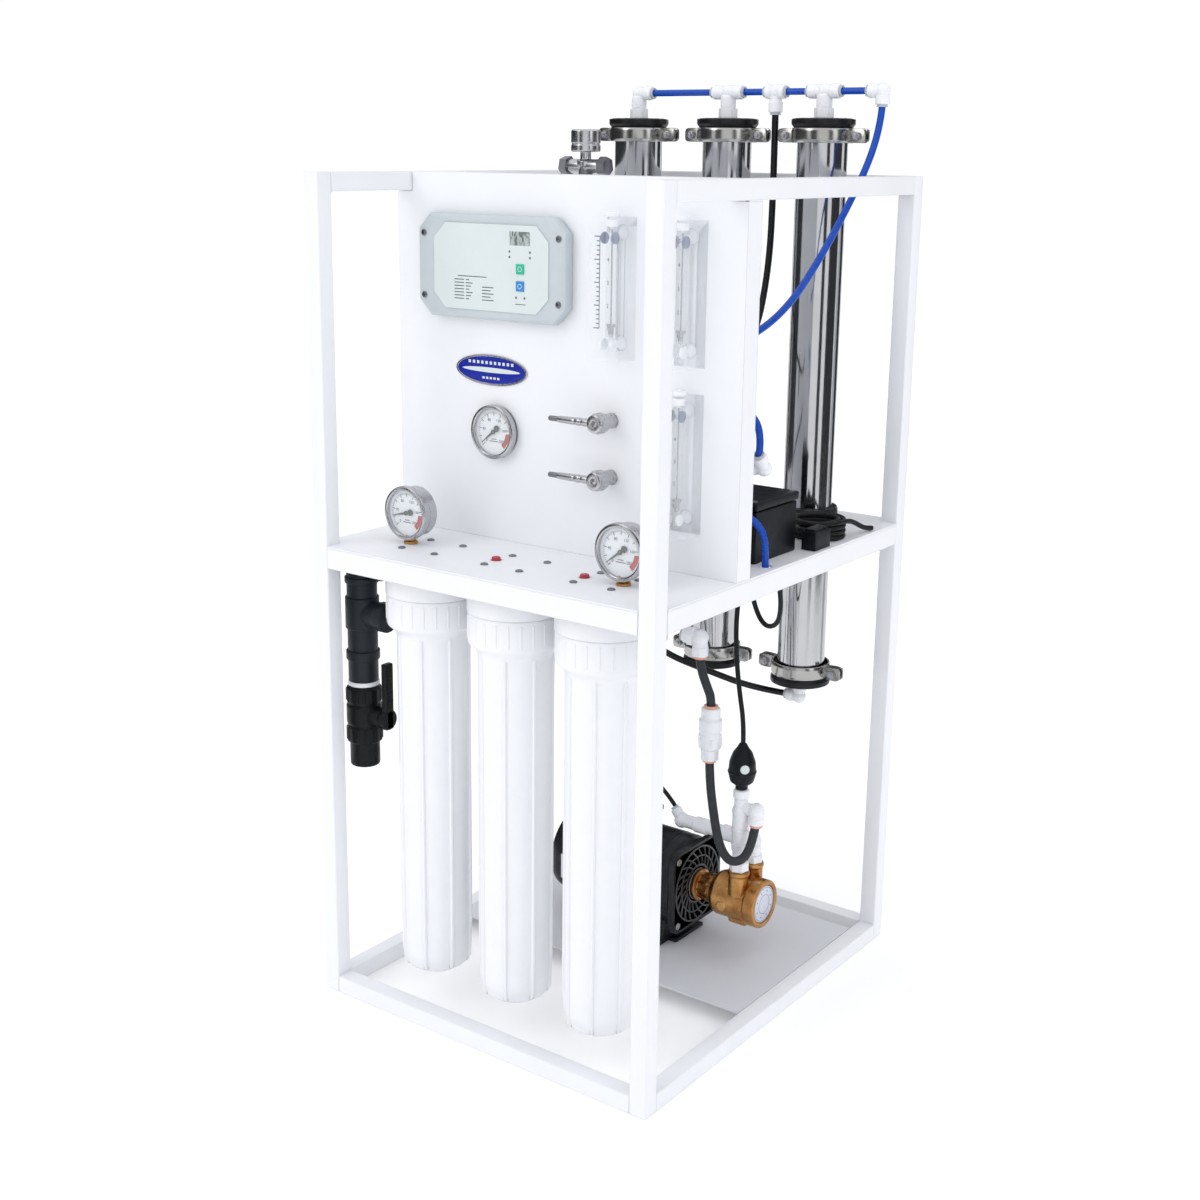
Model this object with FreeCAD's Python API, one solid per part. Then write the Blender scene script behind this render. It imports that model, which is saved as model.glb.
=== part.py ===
"""Reverse osmosis unit on an open square-tube stand, in millimetres.

The origin is the centre of the footprint on the floor.  +X is to the right and
+Y to the back for someone who faces the control panel; +Z is up.
"""
import FreeCAD, Part
import math
import os

Vec = FreeCAD.Vector
X_DIR = Vec(1, 0, 0)
Y_DIR = Vec(0, 1, 0)
Z_DIR = Vec(0, 0, 1)

# Stand
WIDTH = 560.0
DEPTH = 644.0
HEIGHT = 1150.0
TUBE = 25.4
TUBE_WALL = 2.0
SHEET = 3.0
SHELF_TOP = 659.0
SHELF_LIP = 31.0
PLATE_FRONT_Y = -59.0
PLATE_BACK_Y = 265.0
SIDE_X = WIDTH / 2
SIDE_Y = DEPTH / 2
INNER_X = SIDE_X - TUBE
INNER_Y = SIDE_Y - TUBE
SHELF_UNDER = SHELF_TOP - SHEET

# Control panel, a folded sheet with side returns
PANEL_Y = -144.0
PANEL_RETURN = 32.0
PANEL_BACK_Y = PANEL_Y + SHEET
PANEL_NOTCH_Z = HEIGHT - TUBE - 1.0
FLANGE = 25.0

# Controller
CASE_X0, CASE_X1 = -228.0, 23.0
CASE_Z0, CASE_Z1 = 960.0, 1097.0
CASE_CUT = 20.0
CASE_DEPTH = 6.0
COVER_DEPTH = 12.0
COVER_Y = PANEL_Y - CASE_DEPTH - COVER_DEPTH
KEY_X = -51.0
START_Z = 1029.0
STOP_Z = 1007.0
KEY_SIZE = 13.0
KEY_TRAVEL = 1.0

# Pressure gauges: bezel centre x, front y, centre z
BEZEL_R = 37.0
GAUGE_R = 34.0
GAUGE_DEPTH = 30.0
GAUGES = [
    ("panel", Vec(-104.0, -158.0, 809.0), 6.0),
    ("left", Vec(-180.0, -250.0, 702.0), 32.0),
    ("right", Vec(174.0, -250.0, 702.0), 8.0),
]
STEM_BACK = 13.0

# Flowmeters: centre x, bottom z, top z
METER_W = 45.0
METER_DEPTH = 40.0
METER_PORT = 20.0
METERS = [(97.5, 923.0, 1101.0), (202.0, 922.0, 1100.0), (202.0, 713.0, 889.0)]
FLOAT_R = 6.0
FLOAT_LENGTH = 16.0
FLOAT_REST = 30.0

# Lever valves on the panel
VALVE_X = 86.0
VALVE_Z = [843.0, 769.0]
LEVER_LENGTH = 74.0
RELIEF_VALVE = (7.0, -100.0, 1160.0)

# Filter housings under the shelf
FILTER_X = [-141.0, 3.0, 147.0]
FILTER_Y = -237.0
HEAD_R = 64.0
HEAD_BOTTOM = 598.5
PORT_Z = 626.0
SCREW_PITCH = 58.0
RELIEF_OFFSET = -33.0
SUMP_BOTTOM = 43.0
SUMP_R = 50.0
COLLAR_R = 63.0

# Membrane housings
MEMBRANE_X = [-141.0, 14.0, 169.0]
MEMBRANE_Y = 230.0
MEMBRANE_R = 35.0
MEMBRANE_TOP = 1226.0
MEMBRANE_BOTTOM = 414.0
CAP_R = 43.0
LINE_Z = 1262.0

# Pump and motor, on one axis along X
SHAFT_Y = 97.0
SHAFT_Z = 112.0
PUMP_FACE_X = 200.0
MOTOR_FACE_X = 84.0
MOTOR_R = 70.0
FLANGE_HALF = 64.0
MOTOR_LENGTH = 235.0
PORT_Y = [77.0, 117.0]
PUMP_PORT_X = 166.0
PUMP_PORT_TOP = 164.0

# Feed line at the left
FEED_X = -255.0
FEED_Y = -257.0
FEED_R = 21.1
FEED_VALVE_Z = 405.0

# Tubing
BLUE_D = 9.5
BLACK_D = 9.5
HOSE_D = 13.0
BEND_SHARE = 0.45


def box(x0, x1, y0, y1, z0, z1):
    return Part.makeBox(x1 - x0, y1 - y0, z1 - z0, Vec(x0, y0, z0))


def rod(radius, start, end):
    """A round bar between two points."""
    start, end = Vec(*start), Vec(*end)
    return Part.makeCylinder(radius, (end - start).Length, start, end - start)


def ring(outer, inner, start, end):
    """A round sleeve between two points, open right through."""
    start, end = Vec(*start), Vec(*end)
    along = (end - start) * (1.0 / (end - start).Length)
    hole = Part.makeCylinder(inner, (end - start).Length + 2.0, start - along, along)
    return rod(outer, start, end).cut(hole)


def lathe(profile, base, axis=Z_DIR):
    """A turned solid: (radius, height) corners, heights measured from base along axis."""
    corners = [Vec(radius, 0, height) for radius, height in profile]
    face = Part.Face(Part.makePolygon(corners + corners[:1]))
    turned = face.revolve(Vec(0, 0, 0), Z_DIR, 360)
    if turned.ShapeType != "Solid":
        turned = Part.Solid(Part.Shell(turned.Faces))
    turned.Placement = FreeCAD.Placement(Vec(*base), FreeCAD.Rotation(Z_DIR, axis))
    return turned


def nut(across, start, end):
    """A hexagonal prism between two points, measured across its flats."""
    start, end = Vec(*start), Vec(*end)
    corner = across / math.sqrt(3.0)
    points = []
    for step in range(7):
        angle = math.radians(60 * step)
        points.append(Vec(corner * math.cos(angle), corner * math.sin(angle), 0))
    prism = Part.Face(Part.makePolygon(points)).extrude(Vec(0, 0, (end - start).Length))
    prism.Placement = FreeCAD.Placement(start, FreeCAD.Rotation(Z_DIR, end - start))
    return prism


def prism_y(points, y0, y1):
    """A flat outline in X and Z, extruded along Y."""
    corners = [Vec(x, y0, z) for x, z in points]
    return Part.Face(Part.makePolygon(corners + corners[:1])).extrude(Vec(0, y1 - y0, 0))


def fuse(shapes):
    joined = shapes[0]
    for shape in shapes[1:]:
        joined = joined.fuse(shape)
    return joined.removeSplitter()


def square_tube(x0, x1, y0, y1, z0, z1):
    """A square tube along its longest side, open at both ends."""
    low, high = [x0, y0, z0], [x1, y1, z1]
    sizes = [b - a for a, b in zip(low, high)]
    along = sizes.index(max(sizes))
    for side in range(3):
        grow = -1.0 if side == along else TUBE_WALL
        low[side] += grow
        high[side] -= grow
    bore = box(low[0], high[0], low[1], high[1], low[2], high[2])
    return box(x0, x1, y0, y1, z0, z1).cut(bore)


def unit(vector):
    return vector * (1.0 / vector.Length)


def hose(name, points, diameter):
    """A round hose on straight runs joined by tangent arcs."""
    points = [Vec(*point) for point in points]
    edges = []
    radii = []
    start = points[0]
    for before, corner, after in zip(points, points[1:], points[2:]):
        inward = unit(corner - before)
        outward = unit(after - corner)
        half_turn = inward.getAngle(outward) / 2
        setback = BEND_SHARE * min((corner - before).Length, (after - corner).Length)
        radius = setback / math.tan(half_turn)
        to_centre = unit(outward - inward)
        centre = corner + to_centre * (radius / math.cos(half_turn))
        arc_start = corner - inward * setback
        arc_end = corner + outward * setback
        edges.append(Part.LineSegment(start, arc_start).toShape())
        edges.append(Part.Arc(arc_start, centre - to_centre * radius, arc_end).toShape())
        radii.append(radius)
        start = arc_end
    edges.append(Part.LineSegment(start, points[-1]).toShape())
    path = Part.Wire(edges)
    circle = Part.makeCircle(diameter / 2, points[0], unit(points[1] - points[0]))
    tube = path.makePipeShell([Part.Wire(circle)], True, False)
    expected = math.pi * diameter ** 2 / 4 * path.Length
    print("%-18s length %7.1f  radii %s  volume %.4f of section x length" % (
        name, path.Length, [round(radius) for radius in radii], tube.Volume / expected))
    return tube


def save(name, solids):
    shape = Part.makeCompound(solids) if isinstance(solids, list) else solids
    for solid in shape.Solids:
        if not solid.isValid():
            print("INVALID", name)
    shape.exportStep("parts/%s.step" % name)


# ---------------------------------------------------------------- stand

def corner_posts():
    posts = []
    for x0 in (-SIDE_X, INNER_X):
        for y0 in (-SIDE_Y, INNER_Y):
            outside = box(x0, x0 + TUBE, y0, y0 + TUBE, 0, HEIGHT)
            bore = box(x0 + TUBE_WALL, x0 + TUBE - TUBE_WALL, y0 + TUBE_WALL,
                       y0 + TUBE - TUBE_WALL, -1, HEIGHT - TUBE_WALL)
            posts.append(outside.cut(bore))
    save("corner_posts", posts)


def frame_rails():
    rails = []
    for y0 in (-SIDE_Y, INNER_Y):
        rails.append(square_tube(-INNER_X, INNER_X, y0, y0 + TUBE, 0, TUBE))
    for x0 in (-SIDE_X, INNER_X):
        for z1 in (TUBE, HEIGHT):
            rails.append(square_tube(x0, x0 + TUBE, -INNER_Y, INNER_Y, z1 - TUBE, z1))
    rails.append(square_tube(-INNER_X, INNER_X, INNER_Y, SIDE_Y, HEIGHT - TUBE, HEIGHT))
    save("frame_rails", rails)


def base_plate():
    save("base_plate", box(-INNER_X, INNER_X, PLATE_FRONT_Y, PLATE_BACK_Y, TUBE - SHEET, TUBE))


def screw_places():
    """Four screw places over each filter head."""
    half = SCREW_PITCH / 2
    places = []
    for x in FILTER_X:
        for dx in (-half, half):
            for dy in (-half, half):
                places.append((x + dx, FILTER_Y + dy))
    return places


CABLE_HOLES = [(150.0, 92.0), (230.0, 46.0), (262.0, -44.0), (-60.0, 60.0)]
CABLE_HOLE_R = 9.0


def shelf_plate():
    plate = box(-SIDE_X, SIDE_X, -SIDE_Y, SIDE_Y, SHELF_UNDER, SHELF_TOP)
    for x0 in (-SIDE_X, INNER_X):
        for y0 in (-SIDE_Y, INNER_Y):
            plate = plate.cut(box(x0, x0 + TUBE, y0, y0 + TUBE, 0, HEIGHT))
    holes = [(x, MEMBRANE_Y, MEMBRANE_R + 0.5) for x in MEMBRANE_X]
    holes += [(x, y, 3.0) for x, y in screw_places()]
    holes += [(x + RELIEF_OFFSET, FILTER_Y, 7.5) for x in FILTER_X[1:]]
    holes += [(place.x, place.y + STEM_BACK, 8.0) for name, place, reading in GAUGES[1:]]
    holes += [(x, y, CABLE_HOLE_R) for x, y in CABLE_HOLES]
    for x, y, radius in holes:
        plate = plate.cut(rod(radius, (x, y, SHELF_UNDER - 1), (x, y, SHELF_TOP + 1)))
    save("shelf_plate", plate)


def shelf_lips():
    z0 = SHELF_TOP - SHELF_LIP
    lips = [
        box(-INNER_X, INNER_X, -SIDE_Y, -SIDE_Y + SHEET, z0, SHELF_UNDER),
        box(-INNER_X, INNER_X, SIDE_Y - SHEET, SIDE_Y, z0, SHELF_UNDER),
        box(-SIDE_X, -SIDE_X + SHEET, -INNER_Y, INNER_Y, z0, SHELF_UNDER),
        box(SIDE_X - SHEET, SIDE_X, -INNER_Y, INNER_Y, z0, SHELF_UNDER),
    ]
    save("shelf_lips", lips)


# ---------------------------------------------------------------- control panel

def meter_ports():
    places = []
    for x, z0, z1 in METERS:
        places += [(x, z0 + METER_PORT), (x, z1 - METER_PORT)]
    return places


def control_panel():
    back = PANEL_Y + PANEL_RETURN
    inner = INNER_X - 1.0
    sheet = fuse([
        box(-SIDE_X, SIDE_X, PANEL_Y, PANEL_BACK_Y, SHELF_TOP, PANEL_NOTCH_Z),
        box(-inner, inner, PANEL_Y, PANEL_BACK_Y, SHELF_TOP, HEIGHT),
        box(-SIDE_X, -SIDE_X + SHEET, PANEL_Y, back, SHELF_TOP, PANEL_NOTCH_Z),
        box(SIDE_X - SHEET, SIDE_X, PANEL_Y, back, SHELF_TOP, PANEL_NOTCH_Z),
        box(-inner, inner, PANEL_Y, PANEL_BACK_Y + FLANGE, HEIGHT - SHEET, HEIGHT),
        box(-SIDE_X, SIDE_X, PANEL_Y, PANEL_BACK_Y + FLANGE, SHELF_TOP, SHELF_TOP + SHEET),
    ])
    gauge = GAUGES[0][1]
    holes = [(gauge.x, gauge.z, GAUGE_R + 0.5)]
    holes += [(x, z, 9.5) for x, z in meter_ports()]
    holes += [(VALVE_X, z, 9.5) for z in VALVE_Z]
    for x, z, radius in holes:
        sheet = sheet.cut(rod(radius, (x, PANEL_Y - 1, z), (x, PANEL_BACK_Y + 1, z)))
    for x in (-210.0, -70.0, 70.0, 210.0):
        y = PANEL_BACK_Y + FLANGE / 2
        sheet = sheet.cut(rod(2.6, (x, y, SHELF_TOP - 1), (x, y, SHELF_TOP + SHEET + 1)))
    save("control_panel", sheet)


def button_screw(place, axis, head_r, head_h, shank_r, shank_l):
    """A domed screw whose head sits on place and whose shank runs against axis."""
    outline = [(0, -shank_l), (shank_r, -shank_l), (shank_r, 0), (head_r, 0),
               (head_r * 0.92, head_h * 0.5), (head_r * 0.6, head_h), (0, head_h)]
    return lathe(outline, place, axis)


def panel_screws():
    y = PANEL_BACK_Y + FLANGE / 2
    screws = []
    for x in (-210.0, -70.0, 70.0, 210.0):
        screws.append(button_screw((x, y, SHELF_TOP + SHEET), Z_DIR, 4.8, 2.8, 2.5, 2.9))
    save("panel_screws", screws)


def cut_corner_outline(x0, x1, z0, z1, cut):
    return [(x0 + cut, z0), (x1 - cut, z0), (x1, z0 + cut), (x1, z1 - cut),
            (x1 - cut, z1), (x0 + cut, z1), (x0, z1 - cut), (x0, z0 + cut)]


def inset_case(by):
    return cut_corner_outline(CASE_X0 + by, CASE_X1 - by, CASE_Z0 + by, CASE_Z1 - by, CASE_CUT)


def controller_case():
    shell = prism_y(inset_case(0), PANEL_Y - CASE_DEPTH, PANEL_Y)
    hollow = prism_y(inset_case(4.0), PANEL_Y - CASE_DEPTH - 1, PANEL_Y - 2.0)
    save("controller_case", shell.cut(hollow))


def cover_corners():
    return [(x, z) for x in (CASE_X0 + SCREW_INSET_X, CASE_X1 - SCREW_INSET_X)
            for z in (CASE_Z0 + SCREW_INSET_Z, CASE_Z1 - SCREW_INSET_Z)]


SCREW_INSET_X, SCREW_INSET_Z = 11.0, 27.0
OVERLAY_INSET_X, OVERLAY_INSET_Z = 27.0, 11.0


def overlay_outline(gap):
    dx, dz = OVERLAY_INSET_X + gap, OVERLAY_INSET_Z + gap
    return cut_corner_outline(CASE_X0 + dx, CASE_X1 - dx, CASE_Z0 + dz, CASE_Z1 - dz, CASE_CUT)


def controller_cover():
    back = PANEL_Y - CASE_DEPTH
    edge = prism_y(inset_case(0), COVER_Y + 4.0, back)
    front = prism_y(inset_case(4.0), COVER_Y, COVER_Y + 4.0)
    cover = edge.fuse(front).removeSplitter()
    cover = cover.cut(prism_y(inset_case(5.0), COVER_Y + 5.0, back + 1))
    cover = cover.cut(prism_y(overlay_outline(0), COVER_Y - 1, COVER_Y + 1.2))
    for x, z in cover_corners():
        cover = cover.cut(rod(4.2, (x, COVER_Y - 1, z), (x, COVER_Y + 2.5, z)))
        cover = cover.cut(rod(1.9, (x, COVER_Y - 1, z), (x, back + 1, z)))
    for z in (START_Z, STOP_Z):
        cover = cover.cut(key_block(z, 0.4, COVER_Y - 1, COVER_Y + 6))
    save("controller_cover", cover)


def key_block(z, gap, y0, y1):
    half = KEY_SIZE / 2 + gap
    return box(KEY_X - half, KEY_X + half, y0, y1, z - half, z + half)


DISPLAY_X = (-69.0, -35.0)
DISPLAY_Z = (1059.0, 1077.0)


def controller_overlay():
    sheet = prism_y(overlay_outline(0.3), COVER_Y + 0.4, COVER_Y + 1.2)
    for z in (START_Z, STOP_Z):
        sheet = sheet.cut(key_block(z, 0.4, COVER_Y - 1, COVER_Y + 6))
    window = box(DISPLAY_X[0], DISPLAY_X[1], COVER_Y - 1, COVER_Y + 3, DISPLAY_Z[0], DISPLAY_Z[1])
    save("controller_overlay", sheet.cut(window))


def controller_display():
    gap = 0.2
    save("controller_display", box(DISPLAY_X[0] + gap, DISPLAY_X[1] - gap, COVER_Y + 0.3,
                                   COVER_Y + 1.2, DISPLAY_Z[0] + gap, DISPLAY_Z[1] - gap))


def cover_screws():
    screws = []
    for x, z in cover_corners():
        screws.append(button_screw((x, COVER_Y + 2.5, z), Y_DIR * -1, 4.0, 2.2, 1.9, 9.3))
    save("cover_screws", screws)


def control_keys():
    """Two square keys that travel into the cover."""
    for name, z in (("start_key", START_Z), ("stop_key", STOP_Z)):
        cap = key_block(z, 0, COVER_Y - 1.0, COVER_Y + 3.4)
        half = KEY_SIZE / 2 + 2.0
        flange = box(KEY_X - half, KEY_X + half, COVER_Y + 5.4, COVER_Y + 6.6, z - half, z + half)
        stem = key_block(z, 0, COVER_Y + 3.4, COVER_Y + 5.4)
        save(name, fuse([cap, stem, flange]))


def oval_plate():
    """A plain oval plate on the panel."""
    oval = Part.Wire(Part.Ellipse(Vec(0, 0, 0), 62.0, 21.0).toShape())
    plate = Part.Face(oval).extrude(Vec(0, 0, 2.0))
    plate.Placement = FreeCAD.Placement(Vec(-114.0, PANEL_Y, 891.0),
                                        FreeCAD.Rotation(X_DIR, 90))
    save("oval_plate", plate)


# ---------------------------------------------------------------- gauges

def gauge_cases():
    cases = []
    for name, place, reading in GAUGES:
        profile = [(0, GAUGE_DEPTH), (GAUGE_R - 4, GAUGE_DEPTH), (GAUGE_R, GAUGE_DEPTH - 4),
                   (GAUGE_R, 6), (BEZEL_R, 5), (BEZEL_R, 1), (BEZEL_R - 2, 0), (GAUGE_R - 1.5, 0),
                   (GAUGE_R - 2, 2), (GAUGE_R - 2, GAUGE_DEPTH - 3), (0, GAUGE_DEPTH - 3)]
        case = lathe(profile, place, Y_DIR)
        if name == "panel":
            back = place + Vec(0, GAUGE_DEPTH, 0)
            socket = nut(14.0, back, back + Vec(0, 12, 0))
            thread = rod(5.0, back + Vec(0, 12, 0), back + Vec(0, 26, 0))
        else:
            below = place + Vec(0, STEM_BACK, 0)
            socket = nut(14.0, (below.x, below.y, SHELF_TOP + 1), (below.x, below.y, place.z - 32.5))
            thread = rod(6.0, (below.x, below.y, SHELF_UNDER - 9), (below.x, below.y, SHELF_TOP + 1))
        cases.append(fuse([case, socket, thread]))
    save("gauge_cases", cases)


DIAL_BACK = 6.0
PIVOT_R = 1.2


def gauge_dials():
    dials = []
    for name, place, reading in GAUGES:
        disc = rod(GAUGE_R - 2.3, place + Vec(0, DIAL_BACK, 0), place + Vec(0, DIAL_BACK + 1, 0))
        pin = rod(PIVOT_R, place + Vec(0, DIAL_BACK - 3.4, 0), place + Vec(0, DIAL_BACK + 0.5, 0))
        dials.append(disc.fuse(pin))
    save("gauge_dials", dials)


def gauge_lenses():
    save("gauge_lenses", [rod(GAUGE_R - 2.1, place + Vec(0, 0.8, 0), place + Vec(0, 2.4, 0))
                          for name, place, reading in GAUGES])


def gauge_needles():
    """Balanced needles; a reading of zero points down and to the left."""
    for name, place, reading in GAUGES:
        y0 = place.y + DIAL_BACK - 3.0
        y1 = y0 + 0.8
        outline = [(-1.4, -10), (1.4, -10), (1.7, 0), (0.3, 25), (-0.3, 25), (-1.7, 0)]
        blade = prism_y(outline, y0, y1)
        tail = rod(4.4, (0, y0, -8), (0, y1, -8))
        hub = rod(3.2, (0, y0, 0), (0, y1 + 0.8, 0))
        needle = fuse([blade, tail, hub]).cut(rod(PIVOT_R + 0.05, (0, y0 - 1, 0), (0, y1 + 2, 0)))
        turn = FreeCAD.Rotation(Y_DIR, 225.0 + reading)
        needle.Placement = FreeCAD.Placement(Vec(place.x, 0, place.z), turn)
        save(name + "_needle", needle)


# ---------------------------------------------------------------- flowmeters and valves

METER_FRONT_Y = PANEL_Y - METER_DEPTH
METER_BORE_Y = PANEL_Y - 21.0
METER_BORE_R = 8.0


def flowmeter_bodies():
    bodies = []
    for x, z0, z1 in METERS:
        half = METER_W / 2
        block = box(x - half, x + half, METER_FRONT_Y, PANEL_Y, z0, z1)
        edges = [edge for edge in block.Edges
                 if edge.BoundBox.ZLength < 0.1 or edge.BoundBox.ZLength > z1 - z0 - 0.1]
        edges = [edge for edge in edges if edge.BoundBox.YMax < METER_FRONT_Y + 0.1]
        block = block.makeFillet(3.0, edges)
        seat = z0 + FLOAT_REST - 0.5
        block = block.cut(rod(METER_BORE_R, (x, METER_BORE_Y, seat), (x, METER_BORE_Y, z1 - 12)))
        block = block.cut(rod(4.0, (x, METER_BORE_Y, z0 + 12), (x, METER_BORE_Y, seat)))
        for z in (z0 + METER_PORT, z1 - METER_PORT):
            block = block.cut(rod(5.0, (x, METER_BORE_Y, z), (x, PANEL_Y + 1, z)))
        bodies.append(block)
    save("flowmeter_bodies", bodies)


def flowmeter_fittings():
    """Threaded tails through the panel with their lock nuts and rear elbows."""
    fittings = []
    for x, z in meter_ports():
        tail = rod(9.0, (x, PANEL_Y, z), (x, PANEL_BACK_Y + 10, z))
        lock = nut(26.0, (x, PANEL_BACK_Y, z), (x, PANEL_BACK_Y + 6, z))
        socket = rod(10.0, (x, PANEL_BACK_Y + 10, z), (x, PANEL_BACK_Y + 30, z))
        fittings.append(fuse([tail, lock, socket]))
    save("flowmeter_fittings", fittings)


def flowmeter_floats():
    names = ["left_float", "upper_float", "lower_float"]
    for name, (x, z0, z1) in zip(names, METERS):
        profile = [(0, 0), (2.5, 0), (3.5, 4), (3.5, 11), (FLOAT_R, 14), (FLOAT_R, FLOAT_LENGTH),
                   (0, FLOAT_LENGTH)]
        save(name, lathe(profile, (x, METER_BORE_Y, z0 + FLOAT_REST)))


def valve_bodies():
    bodies = []
    for z in VALVE_Z:
        bodies.append(fuse([
            nut(24.0, (VALVE_X, PANEL_Y - 7, z), (VALVE_X, PANEL_Y, z)),
            rod(9.0, (VALVE_X, PANEL_Y, z), (VALVE_X, PANEL_BACK_Y + 8, z)),
            nut(24.0, (VALVE_X, PANEL_BACK_Y, z), (VALVE_X, PANEL_BACK_Y + 6, z)),
            rod(13.0, (VALVE_X, PANEL_BACK_Y + 8, z), (VALVE_X, PANEL_BACK_Y + 38, z)),
            rod(8.0, (VALVE_X, PANEL_BACK_Y + 23, z - 30), (VALVE_X, PANEL_BACK_Y + 23, z + 30)),
            rod(11.0, (VALVE_X, PANEL_Y - 20, z), (VALVE_X, PANEL_Y - 7, z)),
            rod(4.0, (VALVE_X, PANEL_Y - 38, z), (VALVE_X, PANEL_Y - 20, z)),
        ]))
    bodies.append(relief_valve())
    save("valve_bodies", bodies)


def relief_valve():
    """Spring-loaded valve on a bracket at the top of the panel's back."""
    x, y, z = RELIEF_VALVE
    return fuse([
        box(x - 10, x + 10, PANEL_BACK_Y, y, z - 34, z - 22),
        rod(9.0, (x, y, z - 36), (x, y, z)),
        rod(9.0, (x - 26, y, z), (x + 26, y, z)),
        nut(22.0, (x - 36, y, z), (x - 24, y, z)),
        nut(22.0, (x + 24, y, z), (x + 36, y, z)),
        rod(5.0, (x, y, z), (x, y, z + 20)),
        rod(19.0, (x, y, z + 18), (x, y, z + 46)),
    ])


def valve_levers():
    """Each lever's hub turns on its valve's stem; the arm points left at rest."""
    for name, z in zip(["upper_lever", "lower_lever"], VALVE_Z):
        front = PANEL_Y - 40
        hub = rod(13.0, (VALVE_X, front, z), (VALVE_X, PANEL_Y - 20.4, z))
        arm = box(VALVE_X - 30, VALVE_X, front + 3, front + 11, z - 6, z + 6)
        tip = VALVE_X - LEVER_LENGTH
        grip = rod(4.5, (tip, front + 7, z), (VALVE_X - 20, front + 7, z))
        bore = rod(4.05, (VALVE_X, PANEL_Y - 38.3, z), (VALVE_X, PANEL_Y - 20, z))
        save(name, fuse([hub, arm, grip]).cut(bore))


# ---------------------------------------------------------------- filters

def filter_heads():
    heads = []
    for x in FILTER_X:
        cavity_top = 640 - HEAD_BOTTOM
        full = SHELF_UNDER - HEAD_BOTTOM
        profile = [(56, 0), (HEAD_R, 0), (HEAD_R, full - 6), (HEAD_R - 5, full), (0, full),
                   (0, cavity_top - 70), (12, cavity_top - 70), (12, cavity_top), (56, cavity_top)]
        head = lathe(profile, (x, FILTER_Y, HEAD_BOTTOM))
        for side in (-1, 1):
            y = FEED_Y if (x == FILTER_X[0] and side < 0) else FILTER_Y
            boss = rod(19.0, (x + side * 50, y, PORT_Z), (x + side * 72, y, PORT_Z))
            head = head.fuse(boss)
        head = head.cut(rod(56, (x, FILTER_Y, HEAD_BOTTOM), (x, FILTER_Y, 640)).cut(
            rod(12, (x, FILTER_Y, HEAD_BOTTOM - 1), (x, FILTER_Y, 641))))
        for dx in (-SCREW_PITCH / 2, SCREW_PITCH / 2):
            for dy in (-SCREW_PITCH / 2, SCREW_PITCH / 2):
                place = (x + dx, FILTER_Y + dy)
                head = head.cut(rod(2.5, (*place, 643), (*place, SHELF_UNDER + 1)))
        heads.append(head)
    for head_index in (1, 2):
        x = FILTER_X[head_index] + RELIEF_OFFSET
        heads[head_index] = heads[head_index].cut(rod(4.0, (x, FILTER_Y, 644), (x, FILTER_Y, 660)))
    for head_index, (name, place, reading) in zip((0, 2), GAUGES[1:]):
        heads[head_index] = heads[head_index].cut(
            rod(6.0, (place.x, place.y + STEM_BACK, 647), (place.x, place.y + STEM_BACK, 660)))
    save("filter_heads", heads)


def head_screws():
    save("head_screws", [button_screw((x, y, SHELF_TOP), Z_DIR, 5.5, 3.0, 2.5, 15.0)
                         for x, y in screw_places()])


def filter_sumps():
    for name, x in zip(["left_sump", "middle_sump", "right_sump"], FILTER_X):
        profile = [(0, 0), (7, 0), (9, 5), (34, 8), (45, 16), (SUMP_R - 1.5, 34), (SUMP_R, 497),
                   (54, 505), (COLLAR_R, 513), (COLLAR_R, 555), (55.4, 555), (55.4, 591),
                   (49, 591), (49, 500), (46, 36), (40, 20), (0, 14)]
        sump = lathe(profile, (x, FILTER_Y, SUMP_BOTTOM))
        for step in range(8):
            rib = box(46.5, SUMP_R + 2.5, -1.6, 1.6, SUMP_BOTTOM + 22, SUMP_BOTTOM + 503)
            rib.rotate(Vec(0, 0, 0), Z_DIR, 45 * step + 22.5)
            rib.translate(Vec(x, FILTER_Y, 0))
            inner = rod(47.5, (x, FILTER_Y, 0), (x, FILTER_Y, 700))
            sump = sump.fuse(rib.cut(inner))
        save(name, sump.removeSplitter())


def filter_cartridges():
    save("filter_cartridges", [ring(31.0, 14.0, (x, FILTER_Y, 62), (x, FILTER_Y, 570))
                               for x in FILTER_X])


def o_rings():
    """Sump seals in the filter heads and two seals on each membrane end cap."""
    seals = [Part.makeTorus(52.2, 2.4, Vec(x, FILTER_Y, 637)) for x in FILTER_X]
    for x in MEMBRANE_X:
        for z in (MEMBRANE_TOP - 34, MEMBRANE_BOTTOM + 34):
            seals.append(Part.makeTorus(MEMBRANE_R - 3.9, 1.7, Vec(x, MEMBRANE_Y, z)))
    save("o_rings", seals)


def relief_buttons():
    for name, head_x in zip(["middle_relief", "right_relief"], FILTER_X[1:]):
        profile = [(0, 0), (3.95, 0), (3.95, 13), (6, 13), (6, 16), (5, 17.5), (0, 17.5)]
        save(name + "_button", lathe(profile, (head_x + RELIEF_OFFSET, FILTER_Y, 648)))


# ---------------------------------------------------------------- membranes

def membrane_housings():
    """Steel tubes with a rolled rim at each end for the clamp."""
    tubes = []
    for x in MEMBRANE_X:
        z0 = MEMBRANE_BOTTOM + 14
        z1 = MEMBRANE_TOP - 14
        tall = z1 - z0
        rim = MEMBRANE_R + 5
        profile = [(MEMBRANE_R - 2, 0), (rim, 0), (rim, 3), (MEMBRANE_R, 8), (MEMBRANE_R, tall - 8),
                   (rim, tall - 3), (rim, tall), (MEMBRANE_R - 2, tall)]
        tubes.append(lathe(profile, (x, MEMBRANE_Y, z0)))
    save("membrane_housings", tubes)


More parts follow.
